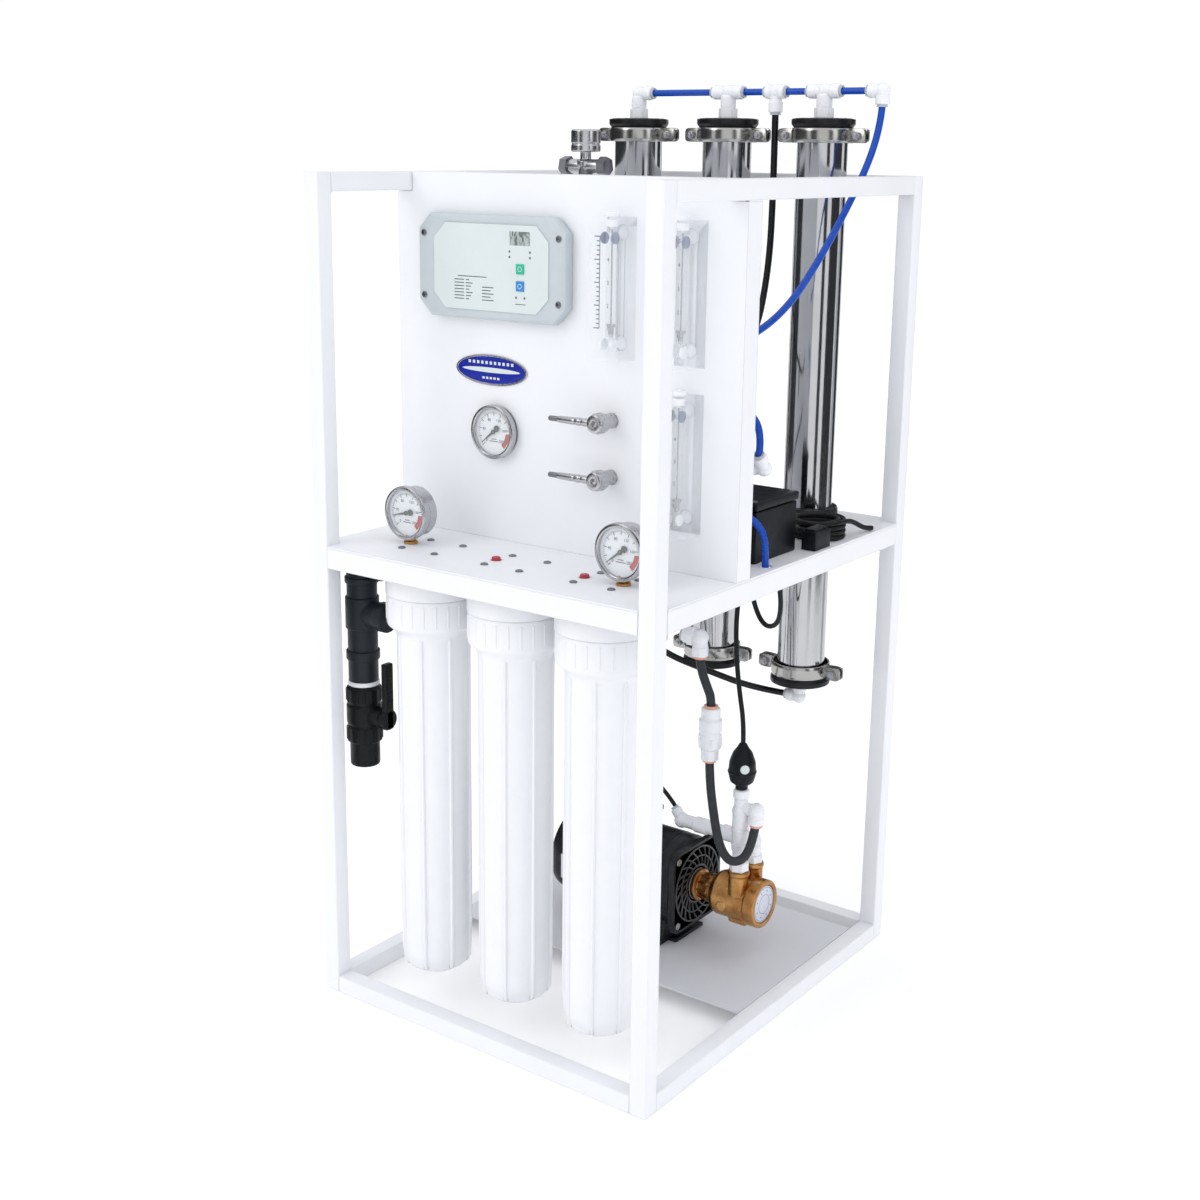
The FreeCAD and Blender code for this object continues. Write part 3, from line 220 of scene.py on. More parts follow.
def cast_brass():
    """Sand-cast brass: pitted, with darker, oxidised patches at random."""
    paint = Paint("cast_brass", metallic=1.0, edge=0.8)
    paint.colour(paint.noise(26, 3), (0.25, (0.36, 0.15, 0.045)), (0.5, (0.52, 0.26, 0.085)),
                 (0.75, (0.62, 0.36, 0.14)))
    paint.rough(paint.noise(7, 4), 0.24, 0.4)
    return paint.relief(paint.noise(1.4, 3), 0.08, 0.5).material


def rubber(name, rgb):
    """Cable jacket with a matt skin."""
    paint = Paint(name, Specular_IOR_Level=0.25)
    paint.colour(paint.noise(8, 4), *around(rgb, 0.12))
    paint.rough(paint.noise(6, 4), 0.42, 0.6)
    return paint.relief(paint.noise(0.7, 2), 0.02, 0.5).material


def pleated():
    """Wound filter medium: fine upright folds."""
    paint = Paint("pleated", roughness=0.9)
    paint.colour(paint.noise(4, 4, (1, 1, 12)), *around((0.82, 0.82, 0.79), 0.06))
    return paint.relief(paint.noise(2.5, 2, (1, 1, 20)), 0.6, 0.8).material


def display_glass():
    """Liquid crystal window with a faint grid."""
    paint = Paint("display_glass", coat=1.0)
    paint.colour(paint.noise(2.2, 0, (1, 1, 2.4)), (0.42, (0.16, 0.19, 0.18)), (0.56, (0.42, 0.47, 0.45)))
    return paint.rough(paint.noise(6), 0.2, 0.28).material


M = {
    "powder": powder("powder_white", (0.83, 0.84, 0.87)),
    "sheet": powder("sheet_white", (0.83, 0.84, 0.87), 2.2),
    "base": powder("base_sheet", (0.66, 0.67, 0.71), 0.8),
    "case": plastic("case_grey", (0.52, 0.57, 0.60), 0.34, 0.46, edge=1.2),
    "overlay": plastic("overlay_pale", (0.66, 0.72, 0.72), 0.3, 0.38, 0.015),
    "print": plastic("print_grey", (0.10, 0.13, 0.15), 0.4, 0.5),
    "print_blue": plastic("print_blue", (0.03, 0.10, 0.35), 0.4, 0.5),
    "green": plastic("key_green", (0.02, 0.50, 0.30), 0.25, 0.35, 0.05),
    "blue_key": plastic("key_blue", (0.02, 0.24, 0.60), 0.25, 0.35, 0.05),
    "badge": plastic("badge_blue", (0.008, 0.018, 0.30), 0.22, 0.3, 0.06, sheen=0.3),
    "display": display_glass(),
    "white": plastic("housing_white", (0.84, 0.85, 0.875), 0.3, 0.42, 0.012, 1.0, 0.02, edge=0.6),
    "fitting": plastic("fitting_white", (0.84, 0.85, 0.88), 0.22, 0.32, 0.012, coat=0.2),
    "collet": plastic("collet_grey", (0.50, 0.52, 0.56), 0.25, 0.35),
    "clip": plastic("clip_salmon", (0.80, 0.40, 0.30), 0.3, 0.4),
    "seal_blue": plastic("seal_blue", (0.16, 0.20, 0.32), 0.3, 0.4),
    "red": plastic("relief_red", (0.42, 0.03, 0.05), 0.3, 0.4),
    "dial": plastic("dial_white", (0.82, 0.84, 0.87), 0.4, 0.5, 0.01),
    "dial_red": plastic("dial_red", (0.62, 0.03, 0.02), 0.4, 0.5),
    "needle": plastic("needle_black", (0.012, 0.012, 0.014), 0.4, 0.5),
    "black": plastic("cap_black", (0.006, 0.0065, 0.008), 0.28, 0.42, 0.15, 1.2, 0.05, edge=0.6, sheen=0.3),
    "box": plastic("box_black", (0.004, 0.005, 0.008), 0.3, 0.46, 0.12, 1.5, 0.06, edge=0.8, sheen=0.22),
    "pvc": plastic("pvc_grey", (0.012, 0.016, 0.022), 0.35, 0.5, 0.1, 1.0, 0.03, edge=0.8, sheen=0.25),
    "pvc_dark": plastic("pvc_dark", (0.004, 0.005, 0.006), 0.32, 0.46, 0.1, 1.0, 0.03, edge=0.8, sheen=0.2),
    "tape": plastic("thread_tape", (0.80, 0.81, 0.83), 0.55, 0.7, 0.03, 0.8, 0.15),
    "tube_blue": plastic("tube_blue", (0.002, 0.06, 0.42), 0.22, 0.34, 0.08, edge=0, sheen=0.35),
    "tube_black": plastic("tube_black", (0.005, 0.005, 0.007), 0.24, 0.38, 0.1, edge=0, sheen=0.3),
    "hose": rubber("hose_grey", (0.035, 0.037, 0.042)),
    "cable": rubber("cable_black", (0.007, 0.0075, 0.009)),
    "rubber": rubber("seal_black", (0.02, 0.02, 0.022)),
    "tube_steel": steel("tube_steel", (0.50, 0.505, 0.515), 0.06, 0.16),
    "steel": steel("brushed_steel", (0.50, 0.50, 0.515), 0.18, 0.32, (1, 1, 1), 1.2),
    "clamp": steel("clamp_steel", (0.42, 0.415, 0.40), 0.14, 0.28, (1, 1, 0.1), 1.0),
    "screw": steel("screw_steel", (0.50, 0.50, 0.52), 0.25, 0.4, (1, 1, 1), 0.8),
    "dark_screw": steel("screw_dark", (0.24, 0.24, 0.26), 0.3, 0.45, (1, 1, 1), 0.8),
    "plate": steel("face_plate", (0.70, 0.73, 0.80), 0.3, 0.42, (1, 20, 1), 0.6),
    "motor": plastic("motor_black", (0.007, 0.0085, 0.011), 0.28, 0.42, 0.25, 1.6, 0.12, edge=0.8,
                     sheen=0.35),
    # The bell's rings and slot ridges get a lighter, glossier copy of the motor black: a painted highlight.
    "motor_fin_highlight": plastic("motor_bell_highlight", (0.03, 0.033, 0.038), 0.24, 0.36, 0.3, 1.6, 0.12, edge=0.8,
                         sheen=0.6),
    "brass": cast_brass(),
    "glass": clear("clear_glass", (0.9, 0.93, 0.95), 0.10, 0.01),
    "acrylic": clear("clear_acrylic", (0.88, 0.91, 0.95), 0.14, 0.05),
    "pleat": pleated(),
    "element": plastic("element_wrap", (0.35, 0.45, 0.60), 0.4, 0.5),
}


# ---------------------------------------------------------------- mesh building

def soften(points, radius, steps=3, closed=False):
    """Rounds the corners of a line of points."""
    count = len(points)
    made = []
    for index, corner in enumerate(points):
        if not closed and index in (0, count - 1):
            made.append(corner)
            continue
        before = points[index - 1] - corner
        after = points[(index + 1) % count] - corner
        setback = min(radius, before.length * 0.48, after.length * 0.48)
        if setback < 0.01 or before.angle(after) > math.radians(176):
            made.append(corner)
            continue
        start = corner + before.normalized() * setback
        end = corner + after.normalized() * setback
        for step in range(steps + 1):
            t = step / steps
            made.append(start * (1 - t) ** 2 + corner * 2 * t * (1 - t) + end * t * t)
    return made


class Piece:
    """Collects the mesh of one visible piece, in millimetres, and its materials."""

    def __init__(self, name, slot, replaces=(), body="stand"):
        self.name, self.slot, self.replaces, self.body = name, slot, replaces, body
        self.bm = bmesh.new()
        self.paints = []

    def index(self, paint):
        if paint not in self.paints:
            self.paints.append(paint)
        return self.paints.index(paint)

    def skin(self, loops, paint, caps=True, closed=False):
        """Joins rings of points, one after the other, into a surface."""
        index = self.index(paint)
        rows = [[self.bm.verts.new(p) for p in loop] for loop in loops]
        faces = []
        pairs = list(zip(rows, rows[1:]))
        if closed:
            pairs.append((rows[-1], rows[0]))
        for low, high in pairs:
            for i in range(len(low)):
                j = (i + 1) % len(low)
                faces.append(self.bm.faces.new((low[i], low[j], high[j], high[i])))
        if caps and not closed:
            faces.append(self.bm.faces.new(rows[0][::-1]))
            faces.append(self.bm.faces.new(rows[-1]))
        for face in faces:
            face.material_index = index
        return faces

    def turn(self, profile, base, axis, paint, soft=0.6, segments=40, closed=False):
        """A turned shape: (radius, height) corners, heights from base along axis."""
        line = soften([Vector((max(r, 0.02), h)) for r, h in profile], soft, 3, closed)
        spin = Z.rotation_difference(Vector(axis)).to_matrix()
        loops = []
        for radius, height in line:
            ring = []
            for step in range(segments):
                angle = 2 * math.pi * step / segments
                ring.append(Vector(base) + spin @ Vector((radius * math.cos(angle),
                                                          radius * math.sin(angle), height)))
            loops.append(ring)
        return self.skin(loops, paint, not closed, closed)

    def rod(self, radius, start, end, paint, soft=0.6, segments=28):
        start, end = Vector(start), Vector(end)
        tall = (end - start).length
        self.turn([(0, 0), (radius, 0), (radius, tall), (0, tall)], start, end - start, paint, soft,
                  segments)

    def nut(self, across, start, end, paint, soft=0.7, turn=0.0):
        """A hexagon between two points, measured across its flats, with turned-off corners."""
        start, end = Vector(start), Vector(end)
        tall = (end - start).length
        spin = Z.rotation_difference(end - start).to_matrix()
        corner = across / math.sqrt(3)
        loops = []
        for share, height in ((0.9, 0), (1, soft), (1, tall - soft), (0.9, tall)):
            ring = []
            for step in range(6):
                angle = math.radians(60 * step + turn)
                ring.append(start + spin @ Vector((corner * share * math.cos(angle),
                                                   corner * share * math.sin(angle), height)))
            loops.append(ring)
        self.skin(loops, paint)

    def bevel(self, faces, radius, segments=2):
        edges = {edge for face in faces for edge in face.edges}
        bmesh.ops.bevel(self.bm, geom=list(edges), offset=radius, segments=segments, profile=0.6,
                        affect="EDGES", clamp_overlap=True)

    def block(self, low, high, paint, radius=1.0, segments=2, turn=None):
        """A box with rounded edges, between two corners, and turned by a matrix if one is given."""
        (x0, y0, z0), (x1, y1, z1) = low, high
        loops = [[Vector(p) for p in ((x0, y0, z), (x1, y0, z), (x1, y1, z), (x0, y1, z))] for z in (z0, z1)]
        if turn:
            loops = [[turn @ p for p in loop] for loop in loops]
        self.bevel(self.skin(loops, paint), radius, segments)

    def prism(self, outline, y0, y1, paint, radius=1.0, segments=2):
        """An outline in X and Z carried along Y, with rounded edges."""
        loops = [[Vector((x, y, z)) for x, z in outline] for y in (y0, y1)]
        self.bevel(self.skin(loops, paint), radius, segments)

    def sweep(self, points, radius, paint, closed=False, segments=10, soft=4.0):
        """A round bar along a line of points."""
        line = soften([Vector(p) for p in points], soft, 4, closed)
        count = len(line)
        loops = []
        side = None
        for index, place in enumerate(line):
            before = line[index - 1] if (closed or index) else place
            after = line[(index + 1) % count] if (closed or index < count - 1) else place
            ahead = (after - before).normalized()
            if side is None:
                side = ahead.orthogonal().normalized()
            side = (side - ahead * side.dot(ahead)).normalized()
            other = ahead.cross(side)
            loops.append([place + (side * math.cos(a) + other * math.sin(a)) * radius
                          for a in (2 * math.pi * k / segments for k in range(segments))])
        self.skin(loops, paint, True, closed)

    def text(self, body, size, centre, paint, lift=0.15, spin=0.0):
        """Flat numerals that face the front."""
        curve = bpy.data.curves.new("numeral", "FONT")
        curve.body, curve.size, curve.extrude = body, size, lift / 2
        curve.align_x, curve.align_y = "CENTER", "CENTER"
        carrier = bpy.data.objects.new("numeral", curve)
        mesh = bpy.data.meshes.new_from_object(carrier)
        upright = Matrix.Rotation(math.pi / 2, 4, "X")
        mesh.transform(Matrix.Translation(centre) @ Matrix.Rotation(spin, 4, "Y") @ upright)
        index = self.index(paint)
        before = len(self.bm.faces)
        self.bm.from_mesh(mesh)
        self.bm.faces.ensure_lookup_table()
        for face in self.bm.faces[before:]:
            face.material_index = index
        bpy.data.objects.remove(carrier)
        bpy.data.curves.remove(curve)
        bpy.data.meshes.remove(mesh)

    def finish(self, sharp=34.0):
        bmesh.ops.recalc_face_normals(self.bm, faces=self.bm.faces)
        mesh = bpy.data.meshes.new(self.name)
        self.bm.to_mesh(mesh)
        self.bm.free()
        mesh.transform(Matrix.Scale(MM, 4))
        mesh.polygons.foreach_set("use_smooth", [True] * len(mesh.polygons))
        mesh.set_sharp_from_angle(angle=math.radians(sharp))
        for paint in self.paints:
            mesh.materials.append(M[paint])
        made = bpy.data.objects.new(self.name, mesh)
        bpy.context.scene.collection.objects.link(made)
        return settle(made, self.replaces, self.body)


def settle(made, replaces, body):
    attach(made, body)
    if replaces:
        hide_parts(*replaces)
    return made


def dress(node, paint):
    """Gives a CAD node a finished material."""
    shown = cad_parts[node]
    shown.data.materials.clear()
    shown.data.materials.append(M[paint])


def tubing(name, routes, diameter, paint, replaces=()):
    """Smooth round tubes, one NURBS spline for each route."""
    curve = bpy.data.curves.new(name, "CURVE")
    curve.dimensions = "3D"
    curve.bevel_depth = diameter / 2 * MM
    curve.bevel_resolution = 5
    curve.resolution_u = 10
    curve.use_fill_caps = True
    for route in routes:
        spline = curve.splines.new("NURBS")
        spline.points.add(len(route) - 1)
        for point, place in zip(spline.points, route):
            point.co = (*(Vector(place) * MM), 1)
        spline.order_u = 3
        spline.use_endpoint_u = True
    curve.materials.append(M[paint])
    made = bpy.data.objects.new(name, curve)
    bpy.context.scene.collection.objects.link(made)
    return settle(made, replaces, "stand")


# ---------------------------------------------------------------- power cord

CORD_D = 7.0
COIL_CENTRE = Vector((230, 150, SHELF_TOP))
COIL_COLUMNS = (37.0, 29.5)
COIL_LAYERS = (3.7, 10.8, 17.9, 25.0)
TURN_POINTS = 16
START_ANGLE = -20.0
LEAD_IN = [(228, 72, 681), (228, 87, 681), (234, 100, 678), (244, 112, 673), (255, 123, 667)]
TAIL = [(267.4, 164, 683.5), (267, 178, 681), (267.5, 192, 676), (269, 206, 669), (271, 219, 664.4),
        (273.5, 231, 662.9)]


def coil_points():
    """Eight turns, up through four layers, each layer one turn in and one turn out."""
    turns = []
    for layer, height in enumerate(COIL_LAYERS):
        columns = COIL_COLUMNS if layer % 2 == 0 else COIL_COLUMNS[::-1]
        turns += [(radius, height) for radius in columns]
    turns.append(turns[-1])
    points = []
    total = (len(turns) - 1) * TURN_POINTS
    for step in range(total + 1):
        turn, share = divmod(step / TURN_POINTS, 1)
        (r0, h0), (r1, h1) = turns[int(turn)], turns[min(int(turn) + 1, len(turns) - 1)]
        ease = max(0.0, (share - 0.5) * 2)
        radius = r0 + (r1 - r0) * ease
        height = h0 + (h1 - h0) * ease
        angle = math.radians(START_ANGLE) + 2 * math.pi * step / TURN_POINTS
        points.append(COIL_CENTRE + Vector((radius * math.cos(angle), radius * math.sin(angle), height)))
    return points


def power_cord():
    route = LEAD_IN + coil_points() + TAIL
    cord = tubing("power_cord_line", [route], CORD_D, "cable", ("power_cord", "cord_coil"))


power_cord()


# ---------------------------------------------------------------- stand

WALL_Z = (TUBE, HEIGHT - TUBE)
WELD_R = 2.2


def stand_frame():
    piece = Piece("stand_frame", "white_powder", ("corner_posts", "frame_rails"))
    inner_x, inner_y, top = HALF_X - TUBE, HALF_Y - TUBE, HEIGHT - TUBE
    for side in (-1, 1):
        x0, x1 = sorted((side * inner_x, side * HALF_X))
        for end in (-1, 1):
            y0, y1 = sorted((end * inner_y, end * HALF_Y))
            piece.block((x0, y0, 0), (x1, y1, HEIGHT), "powder", 2.4, 3)
        for z0 in (0, top):
            piece.block((x0, -inner_y, z0), (x1, inner_y, z0 + TUBE), "powder", 2.4, 3)
    for y0, z0 in ((-HALF_Y, 0), (inner_y, 0), (inner_y, top)):
        piece.block((-inner_x, y0, z0), (inner_x, y0 + TUBE, z0 + TUBE), "powder", 2.4, 3)
    for side in (-1, 1):
        for end in (-1, 1):
            x, y = side * inner_x, end * inner_y
            for z in WALL_Z:
                if z > TUBE and end < 0:
                    piece.sweep([(x, y, z), (side * HALF_X * 0.995, y, z)], WELD_R * 0.5, "powder")
                    continue
                piece.sweep([(x, y, z), (side * HALF_X * 0.995, y, z)], WELD_R * 0.6, "powder")
                piece.sweep([(x, y, z), (x, end * HALF_Y * 0.995, z)], WELD_R * 0.6, "powder")
    return piece.finish()


# ---------------------------------------------------------------- controller and badge

def cut_corners(inset_x=0.0, inset_z=0.0, cut=CASE_CUT):
    """The controller's outline in X and Z, its corners cut off at 45 degrees, drawn in by the insets."""
    (x0, x1), (z0, z1) = CASE_X, CASE_Z
    x0, x1, z0, z1 = x0 + inset_x, x1 - inset_x, z0 + inset_z, z1 - inset_z
    return [(x0 + cut, z0), (x1 - cut, z0), (x1, z0 + cut), (x1, z1 - cut),
            (x1 - cut, z1), (x0 + cut, z1), (x0, z1 - cut), (x0, z0 + cut)]


def outline_at(outline, y):
    return [Vector((x, y, z)) for x, z in outline]


PRINT_Y, PRINT_THICK = COVER_Y + 0.3, 0.3
KEY_PROUD, CAP_THICK = 1.0, 1.3
LAMPS = [(-69, 1051), (-35, 1051), (-69, 1044), (-35, 1044), (-58, 992), (-44, 992)]


def controller():
    case = Piece("controller_case_shell", "case_grey", ("controller_case",))
    case.prism(cut_corners(1.5, 1.5), PANEL_Y, CASE_FRONT_Y, "case", 1.0, 3)
    case.finish()
    cover = Piece("controller_cover_shell", "case_grey", ("controller_cover",))
    rim = [(cut_corners(), CASE_FRONT_Y), (cut_corners(), COVER_Y + 4),
           (cut_corners(1.2, 1.2), COVER_Y + 1.6),
           (cut_corners(5, 4), COVER_Y), (cut_corners(OVERLAY_INSET_X - 4, OVERLAY_INSET_Z - 2), COVER_Y),
           (cut_corners(OVERLAY_INSET_X, OVERLAY_INSET_Z), COVER_Y + 1.4),
           (cut_corners(70, 40, 2), COVER_Y + 1.4)]
    cover.skin([outline_at(outline, y) for outline, y in rim], "case")
    cover.finish(20)
    face = Piece("controller_face_sheet", "overlay_pale", ("controller_overlay",))
    face.prism(cut_corners(OVERLAY_INSET_X + 1, OVERLAY_INSET_Z + 1), COVER_Y + 1.3, COVER_Y + 0.4,
               "overlay", 0.15, 1)
    printed_face(face)
    face.finish()
    glass = Piece("controller_lcd", "display_grey", ("controller_display",))
    glass.block((DISPLAY_X[0], PRINT_Y, DISPLAY_Z[0]), (DISPLAY_X[1], PRINT_Y + 0.5, DISPLAY_Z[1]),
                "display", 0.3)
    glass.finish()
    for key, z, paint, slot in (("start_key", KEY_Z[0], "green", "key_green"),
                                ("stop_key", KEY_Z[1], "blue_key", "key_blue")):
        cap = Piece(key + "_cap", slot, (key,), key + "_body")
        front = COVER_Y - KEY_PROUD
        cap.block((KEY_X - KEY_HALF, front, z - KEY_HALF),
                  (KEY_X + KEY_HALF, front + CAP_THICK, z + KEY_HALF), paint, 0.5)
        cap.turn([(2.6, 0), (3.4, 0), (3.4, 0.15), (2.6, 0.15)], (KEY_X, front, z), -Y, "overlay", 0.05, 24,
                 True)
        cap.finish()


def printed_face(face):
    """Generic rules, table rows and lamps in place of the printed words."""
    for row in range(7):
        z = 985 + row * 4.2
        for x0, wide in ((-164, 17), (-144, 6 + 3 * (row % 3)), (-116, 20 - 5 * (row % 2))):
            if x0 > -120 and row > 4:
                continue
            face.block((x0, PRINT_Y, z), (x0 + wide, PRINT_Y + PRINT_THICK, z + 1.5), "print", 0.1, 1)
    face.block((-158, PRINT_Y, 1015), (-108, PRINT_Y + PRINT_THICK, 1016.4), "print", 0.1, 1)
    face.block((-60, PRINT_Y, 983), (-42, PRINT_Y + PRINT_THICK, 984.2), "print", 0.1, 1)
    for x, z in LAMPS:
        face.turn([(0, 0), (1.6, 0), (1.6, 0.3), (0, 0.3)], (x, PRINT_Y + 0.2, z), -Y, "print", 0.1, 16)


def oval(centre, wide, tall, y, steps=64):
    return [centre + Vector((wide * math.cos(a), y, tall * math.sin(a)))
            for a in (2 * math.pi * k / steps for k in range(steps))]


BLOCK_HALF, BLOCK_Y = 2.1, (-146.3, -146.0)


def badge():
    """A plain oval plate: steel rim, blue field, pale band and rows of pale blocks."""
    piece = Piece("oval_badge", "oval_blue", ("oval_plate",))
    rings = ((62, 21, 0), (62, 21, -1.4), (61.2, 20.2, -2.0), (59.0, 18.4, -2.0), (58.6, 18, -1.6))
    piece.skin([oval(BADGE, wide, tall, y) for wide, tall, y in rings], "steel", False)
    field = ((58.6, 18, -1.6), (56.5, 16, -1.9), (30, 9, -2.0), (0.1, 0.1, -2.0))
    piece.skin([oval(BADGE, wide, tall, y) for wide, tall, y in field], "badge", False)
    band = [oval(BADGE, 50, 3.4, -2.05), oval(BADGE, 49.5, 3.1, -2.25), oval(BADGE, 0.1, 0.1, -2.25)]
    piece.skin(band, "overlay", False)
    for count, rise, pitch, tall in ((11, 7.6, 7.4, 4.2), (5, -12.4, 6.4, 3.2)):
        for step in range(count):
            x = BADGE.x + (step - (count - 1) / 2) * pitch
            piece.block((x - BLOCK_HALF, BLOCK_Y[0], BADGE.z + rise),
                        (x + BLOCK_HALF, BLOCK_Y[1], BADGE.z + rise + tall),
                        "overlay", 0.1, 1)
    return piece.finish()


# ---------------------------------------------------------------- gauges

DIAL_START, DIAL_SWEEP, DIAL_STEPS = 225.0, 270.0, 10


def gauge(name, centre, stemmed):
    """Bezel, case and stem, all round the gauge's centre."""
    piece = Piece(name + "_gauge_case", "gauge_steel")
    piece.turn([(31.0, 0.8), (33.2, 0.0), (36.4, 0.8), (37.0, 3.0), (37.0, 8.6), (34.0, 9.6), (34.0, 28.5),
                (32.0, 30.0), (0.1, 30.0), (0.1, 12.0), (31.8, 12.0), (31.8, 3.0)], centre, Y, "steel", 0.7,
                64, True)
    piece.turn([(34.0, 15.0), (34.5, 15.4), (34.5, 16.6), (34.0, 17.0)], centre, Y, "steel", 0.2, 64, True)
    if stemmed:
        base = Vector((centre.x, centre.y + 13, SHELF_TOP))
        piece.turn([(0, 0), (9.5, 0), (9.5, 3), (8, 4), (0, 4)], base, Z, "brass", 0.4)
        piece.nut(14.0, base + Vector((0, 0, 4)), base + Vector((0, 0, 13)), "brass", turn=15)
    return piece


def dial_face(name, centre):
    piece = Piece(name + "_dial_face", "dial_white")
    face = centre + Vector((0, 5.9, 0))
    piece.turn([(0.1, 0), (31.6, 0), (31.6, 0.8), (0.1, 0.8)], face + Vector((0, 0.9, 0)), -Y, "dial", 0.1,
               64)
    front = face.y - 0.05
    for step in range(DIAL_STEPS * 5 + 1):
        angle = math.radians(DIAL_START - DIAL_SWEEP * step / (DIAL_STEPS * 5))
        major = step % 5 == 0
        inner, outer, wide = (22.0, 27.5, 0.5) if major else (24.8, 27.5, 0.25)
        mark(piece, Vector((face.x, front, face.z)), angle, inner, outer, wide, "needle")
        if major and step % 10 == 0:
            at = Vector((face.x + 17.6 * math.cos(angle), front, face.z + 17.6 * math.sin(angle)))
            piece.text(str(step * 4), 5.6, at, "needle")
    for step in range(24):
        angle = math.radians(-4 - step * 2.0)
        mark(piece, Vector((face.x, front - 0.1, face.z)), angle, 20.5, 27.2, 0.5, "dial_red")
    for low, high, z in ((-4.5, 4.5, -10.5), (-7.5, 7.5, -13.6)):
        piece.block((face.x + low, front - 0.1, face.z + z), (face.x + high, front + 0.1, face.z + z + 1.2),
                    "needle", 0.05, 1)
    return piece


def mark(piece, centre, angle, inner, outer, half, paint):
    """A flat bar on a dial, along one radius."""
    out = Vector((math.cos(angle), 0, math.sin(angle)))
    across = Vector((-math.sin(angle), 0, math.cos(angle)))
    loop = [centre + out * r + across * s for r, s in
            ((inner, -half), (outer, -half), (outer, half), (inner, half))]
    piece.skin([[p + Y * depth for p in loop] for depth in (0.08, -0.08)], paint)


def gauges():
    cases = []
    faces = []
    for name, centre in GAUGES.items():
        cases.append(gauge(name, centre, name != "panel"))
        faces.append(dial_face(name, centre))
    for index, (case, face) in enumerate(zip(cases, faces)):
        case.replaces = () if index else ("gauge_cases",)
        face.replaces = () if index else ("gauge_dials",)
        case.finish()
        face.finish()


# ---------------------------------------------------------------- flowmeters

SCALE_MARKS = 21


def flowmeters():
    """End plugs, guide rods, printed scales and fittings; the clear bodies are the frame's."""
    trim = Piece("flowmeter_trim", "fitting_white", ("flowmeter_fittings",))
    scales = Piece("flowmeter_scales", "fitting_white")
    for x, low, high in METERS:
        bore_low, bore_high = low + 29.5, high - 12
        trim.turn([(0, 0), (7.6, 0), (7.6, 9), (2.4, 10), (2.4, 12), (0, 12)],
                  (x, METER_BORE_Y, bore_high + 9), -Z, "fitting", 0.4, 24)
        trim.turn([(0, 0), (9.5, 0), (9.5, 5), (8, 6), (0, 6)], (x, METER_BORE_Y, high), Z, "fitting", 0.6)
        for z in (low + METER_PORT, high - METER_PORT):
            trim.nut(19.0, (x, PANEL_BACK_Y, z), (x, PANEL_BACK_Y + 11, z), "fitting", turn=30)
            trim.turn([(0, 0), (8.4, 0), (8.4, 15), (6.8, 17), (6.8, 20), (0, 20)],
                      (x, PANEL_BACK_Y + 11, z), Y, "fitting", 0.5)
        trim.rod(1.0, (x, METER_BORE_Y, bore_low), (x, METER_BORE_Y, bore_high), "steel", 0.2, 12)
        for side in (-13.0, 3.0):
            for z, paint in ((high - METER_PORT - 6, "seal_blue"), (low + METER_PORT, "fitting")):
                trim.rod(7.5, (x + side, METER_BORE_Y, z), (x + side + 3, METER_BORE_Y, z), paint, 0.5, 24)
        for step in range(SCALE_MARKS):
            z = bore_low + 12 + step * (bore_high - bore_low - 24) / (SCALE_MARKS - 1)
            long = 8.0 if step % 5 == 0 else 4.6
            x0, x1 = sorted((x - 5.0, x - 5.0 - long))
            scales.block((x0, METER_FRONT_Y - 0.25, z), (x1, METER_FRONT_Y - 0.05, z + 1.2), "print", 0.05,
                         1)
            if step % 5 == 0:
                place = Vector((x + 8.0, METER_FRONT_Y - 0.15, z + 0.4))
                scales.text(str(step // 5 + 1), 6.5, place, "print")
        scales.block((x - 5.2, METER_FRONT_Y - 0.25, bore_low + 12),
                     (x - 4.2, METER_FRONT_Y - 0.05, bore_high - 11),
                     "print", 0.05, 1)
    trim.finish()
    scales.finish()


# ---------------------------------------------------------------- lever valves

def lever_valves():
    bodies = Piece("valve_bodies_steel", "valve_steel", ("valve_bodies",))
    for name, z in VALVE_Z.items():
        front = Vector((VALVE_X, PANEL_Y, z))
        bodies.nut(19.0, front, front - Y * 6, "steel", turn=8)
        bodies.turn([(0, 5), (9.5, 5), (9.5, 19), (8.5, 20), (0, 20)], front, -Y, "steel")
        bodies.rod(4.0, front - Y * 19, front - Y * 38, "steel", 0.3)
        back = Vector((VALVE_X, PANEL_BACK_Y, z))
        bodies.nut(22.0, back, back + Y * 9, "steel", turn=20)
        bodies.turn([(0, 9), (10.5, 9), (10.5, 24), (8.5, 26), (8.5, 38), (0, 38)], back, Y, "steel")
        lever(name, z)
    relief_valve(bodies)
    bodies.finish()


def relief_valve(piece):
    """Spring-loaded valve above the panel's back."""
    x, y, z = RELIEF_VALVE
    piece.block((x - 10, PANEL_BACK_Y, z - 34), (x + 10, y, z - 22), "steel", 0.8)
    piece.turn([(0, -36), (9, -36), (9, 0), (0, 0)], RELIEF_VALVE, Z, "dark_screw")
    for side in (-1, 1):
        piece.rod(9.0, (x, y, z), (x + side * 25, y, z), "steel")
        piece.nut(22.0, (x + side * 24, y, z), (x + side * 36, y, z), "dark_screw", turn=12)
    piece.turn([(0, 0), (11, 0), (11, 6), (7, 9), (7, 18), (17.5, 18), (19, 19.5), (19, 26), (18, 27),
                (18, 28.5),
                (19, 29.5), (19, 44), (17, 46), (0, 46)], RELIEF_VALVE, Z, "steel", 0.8, 48)


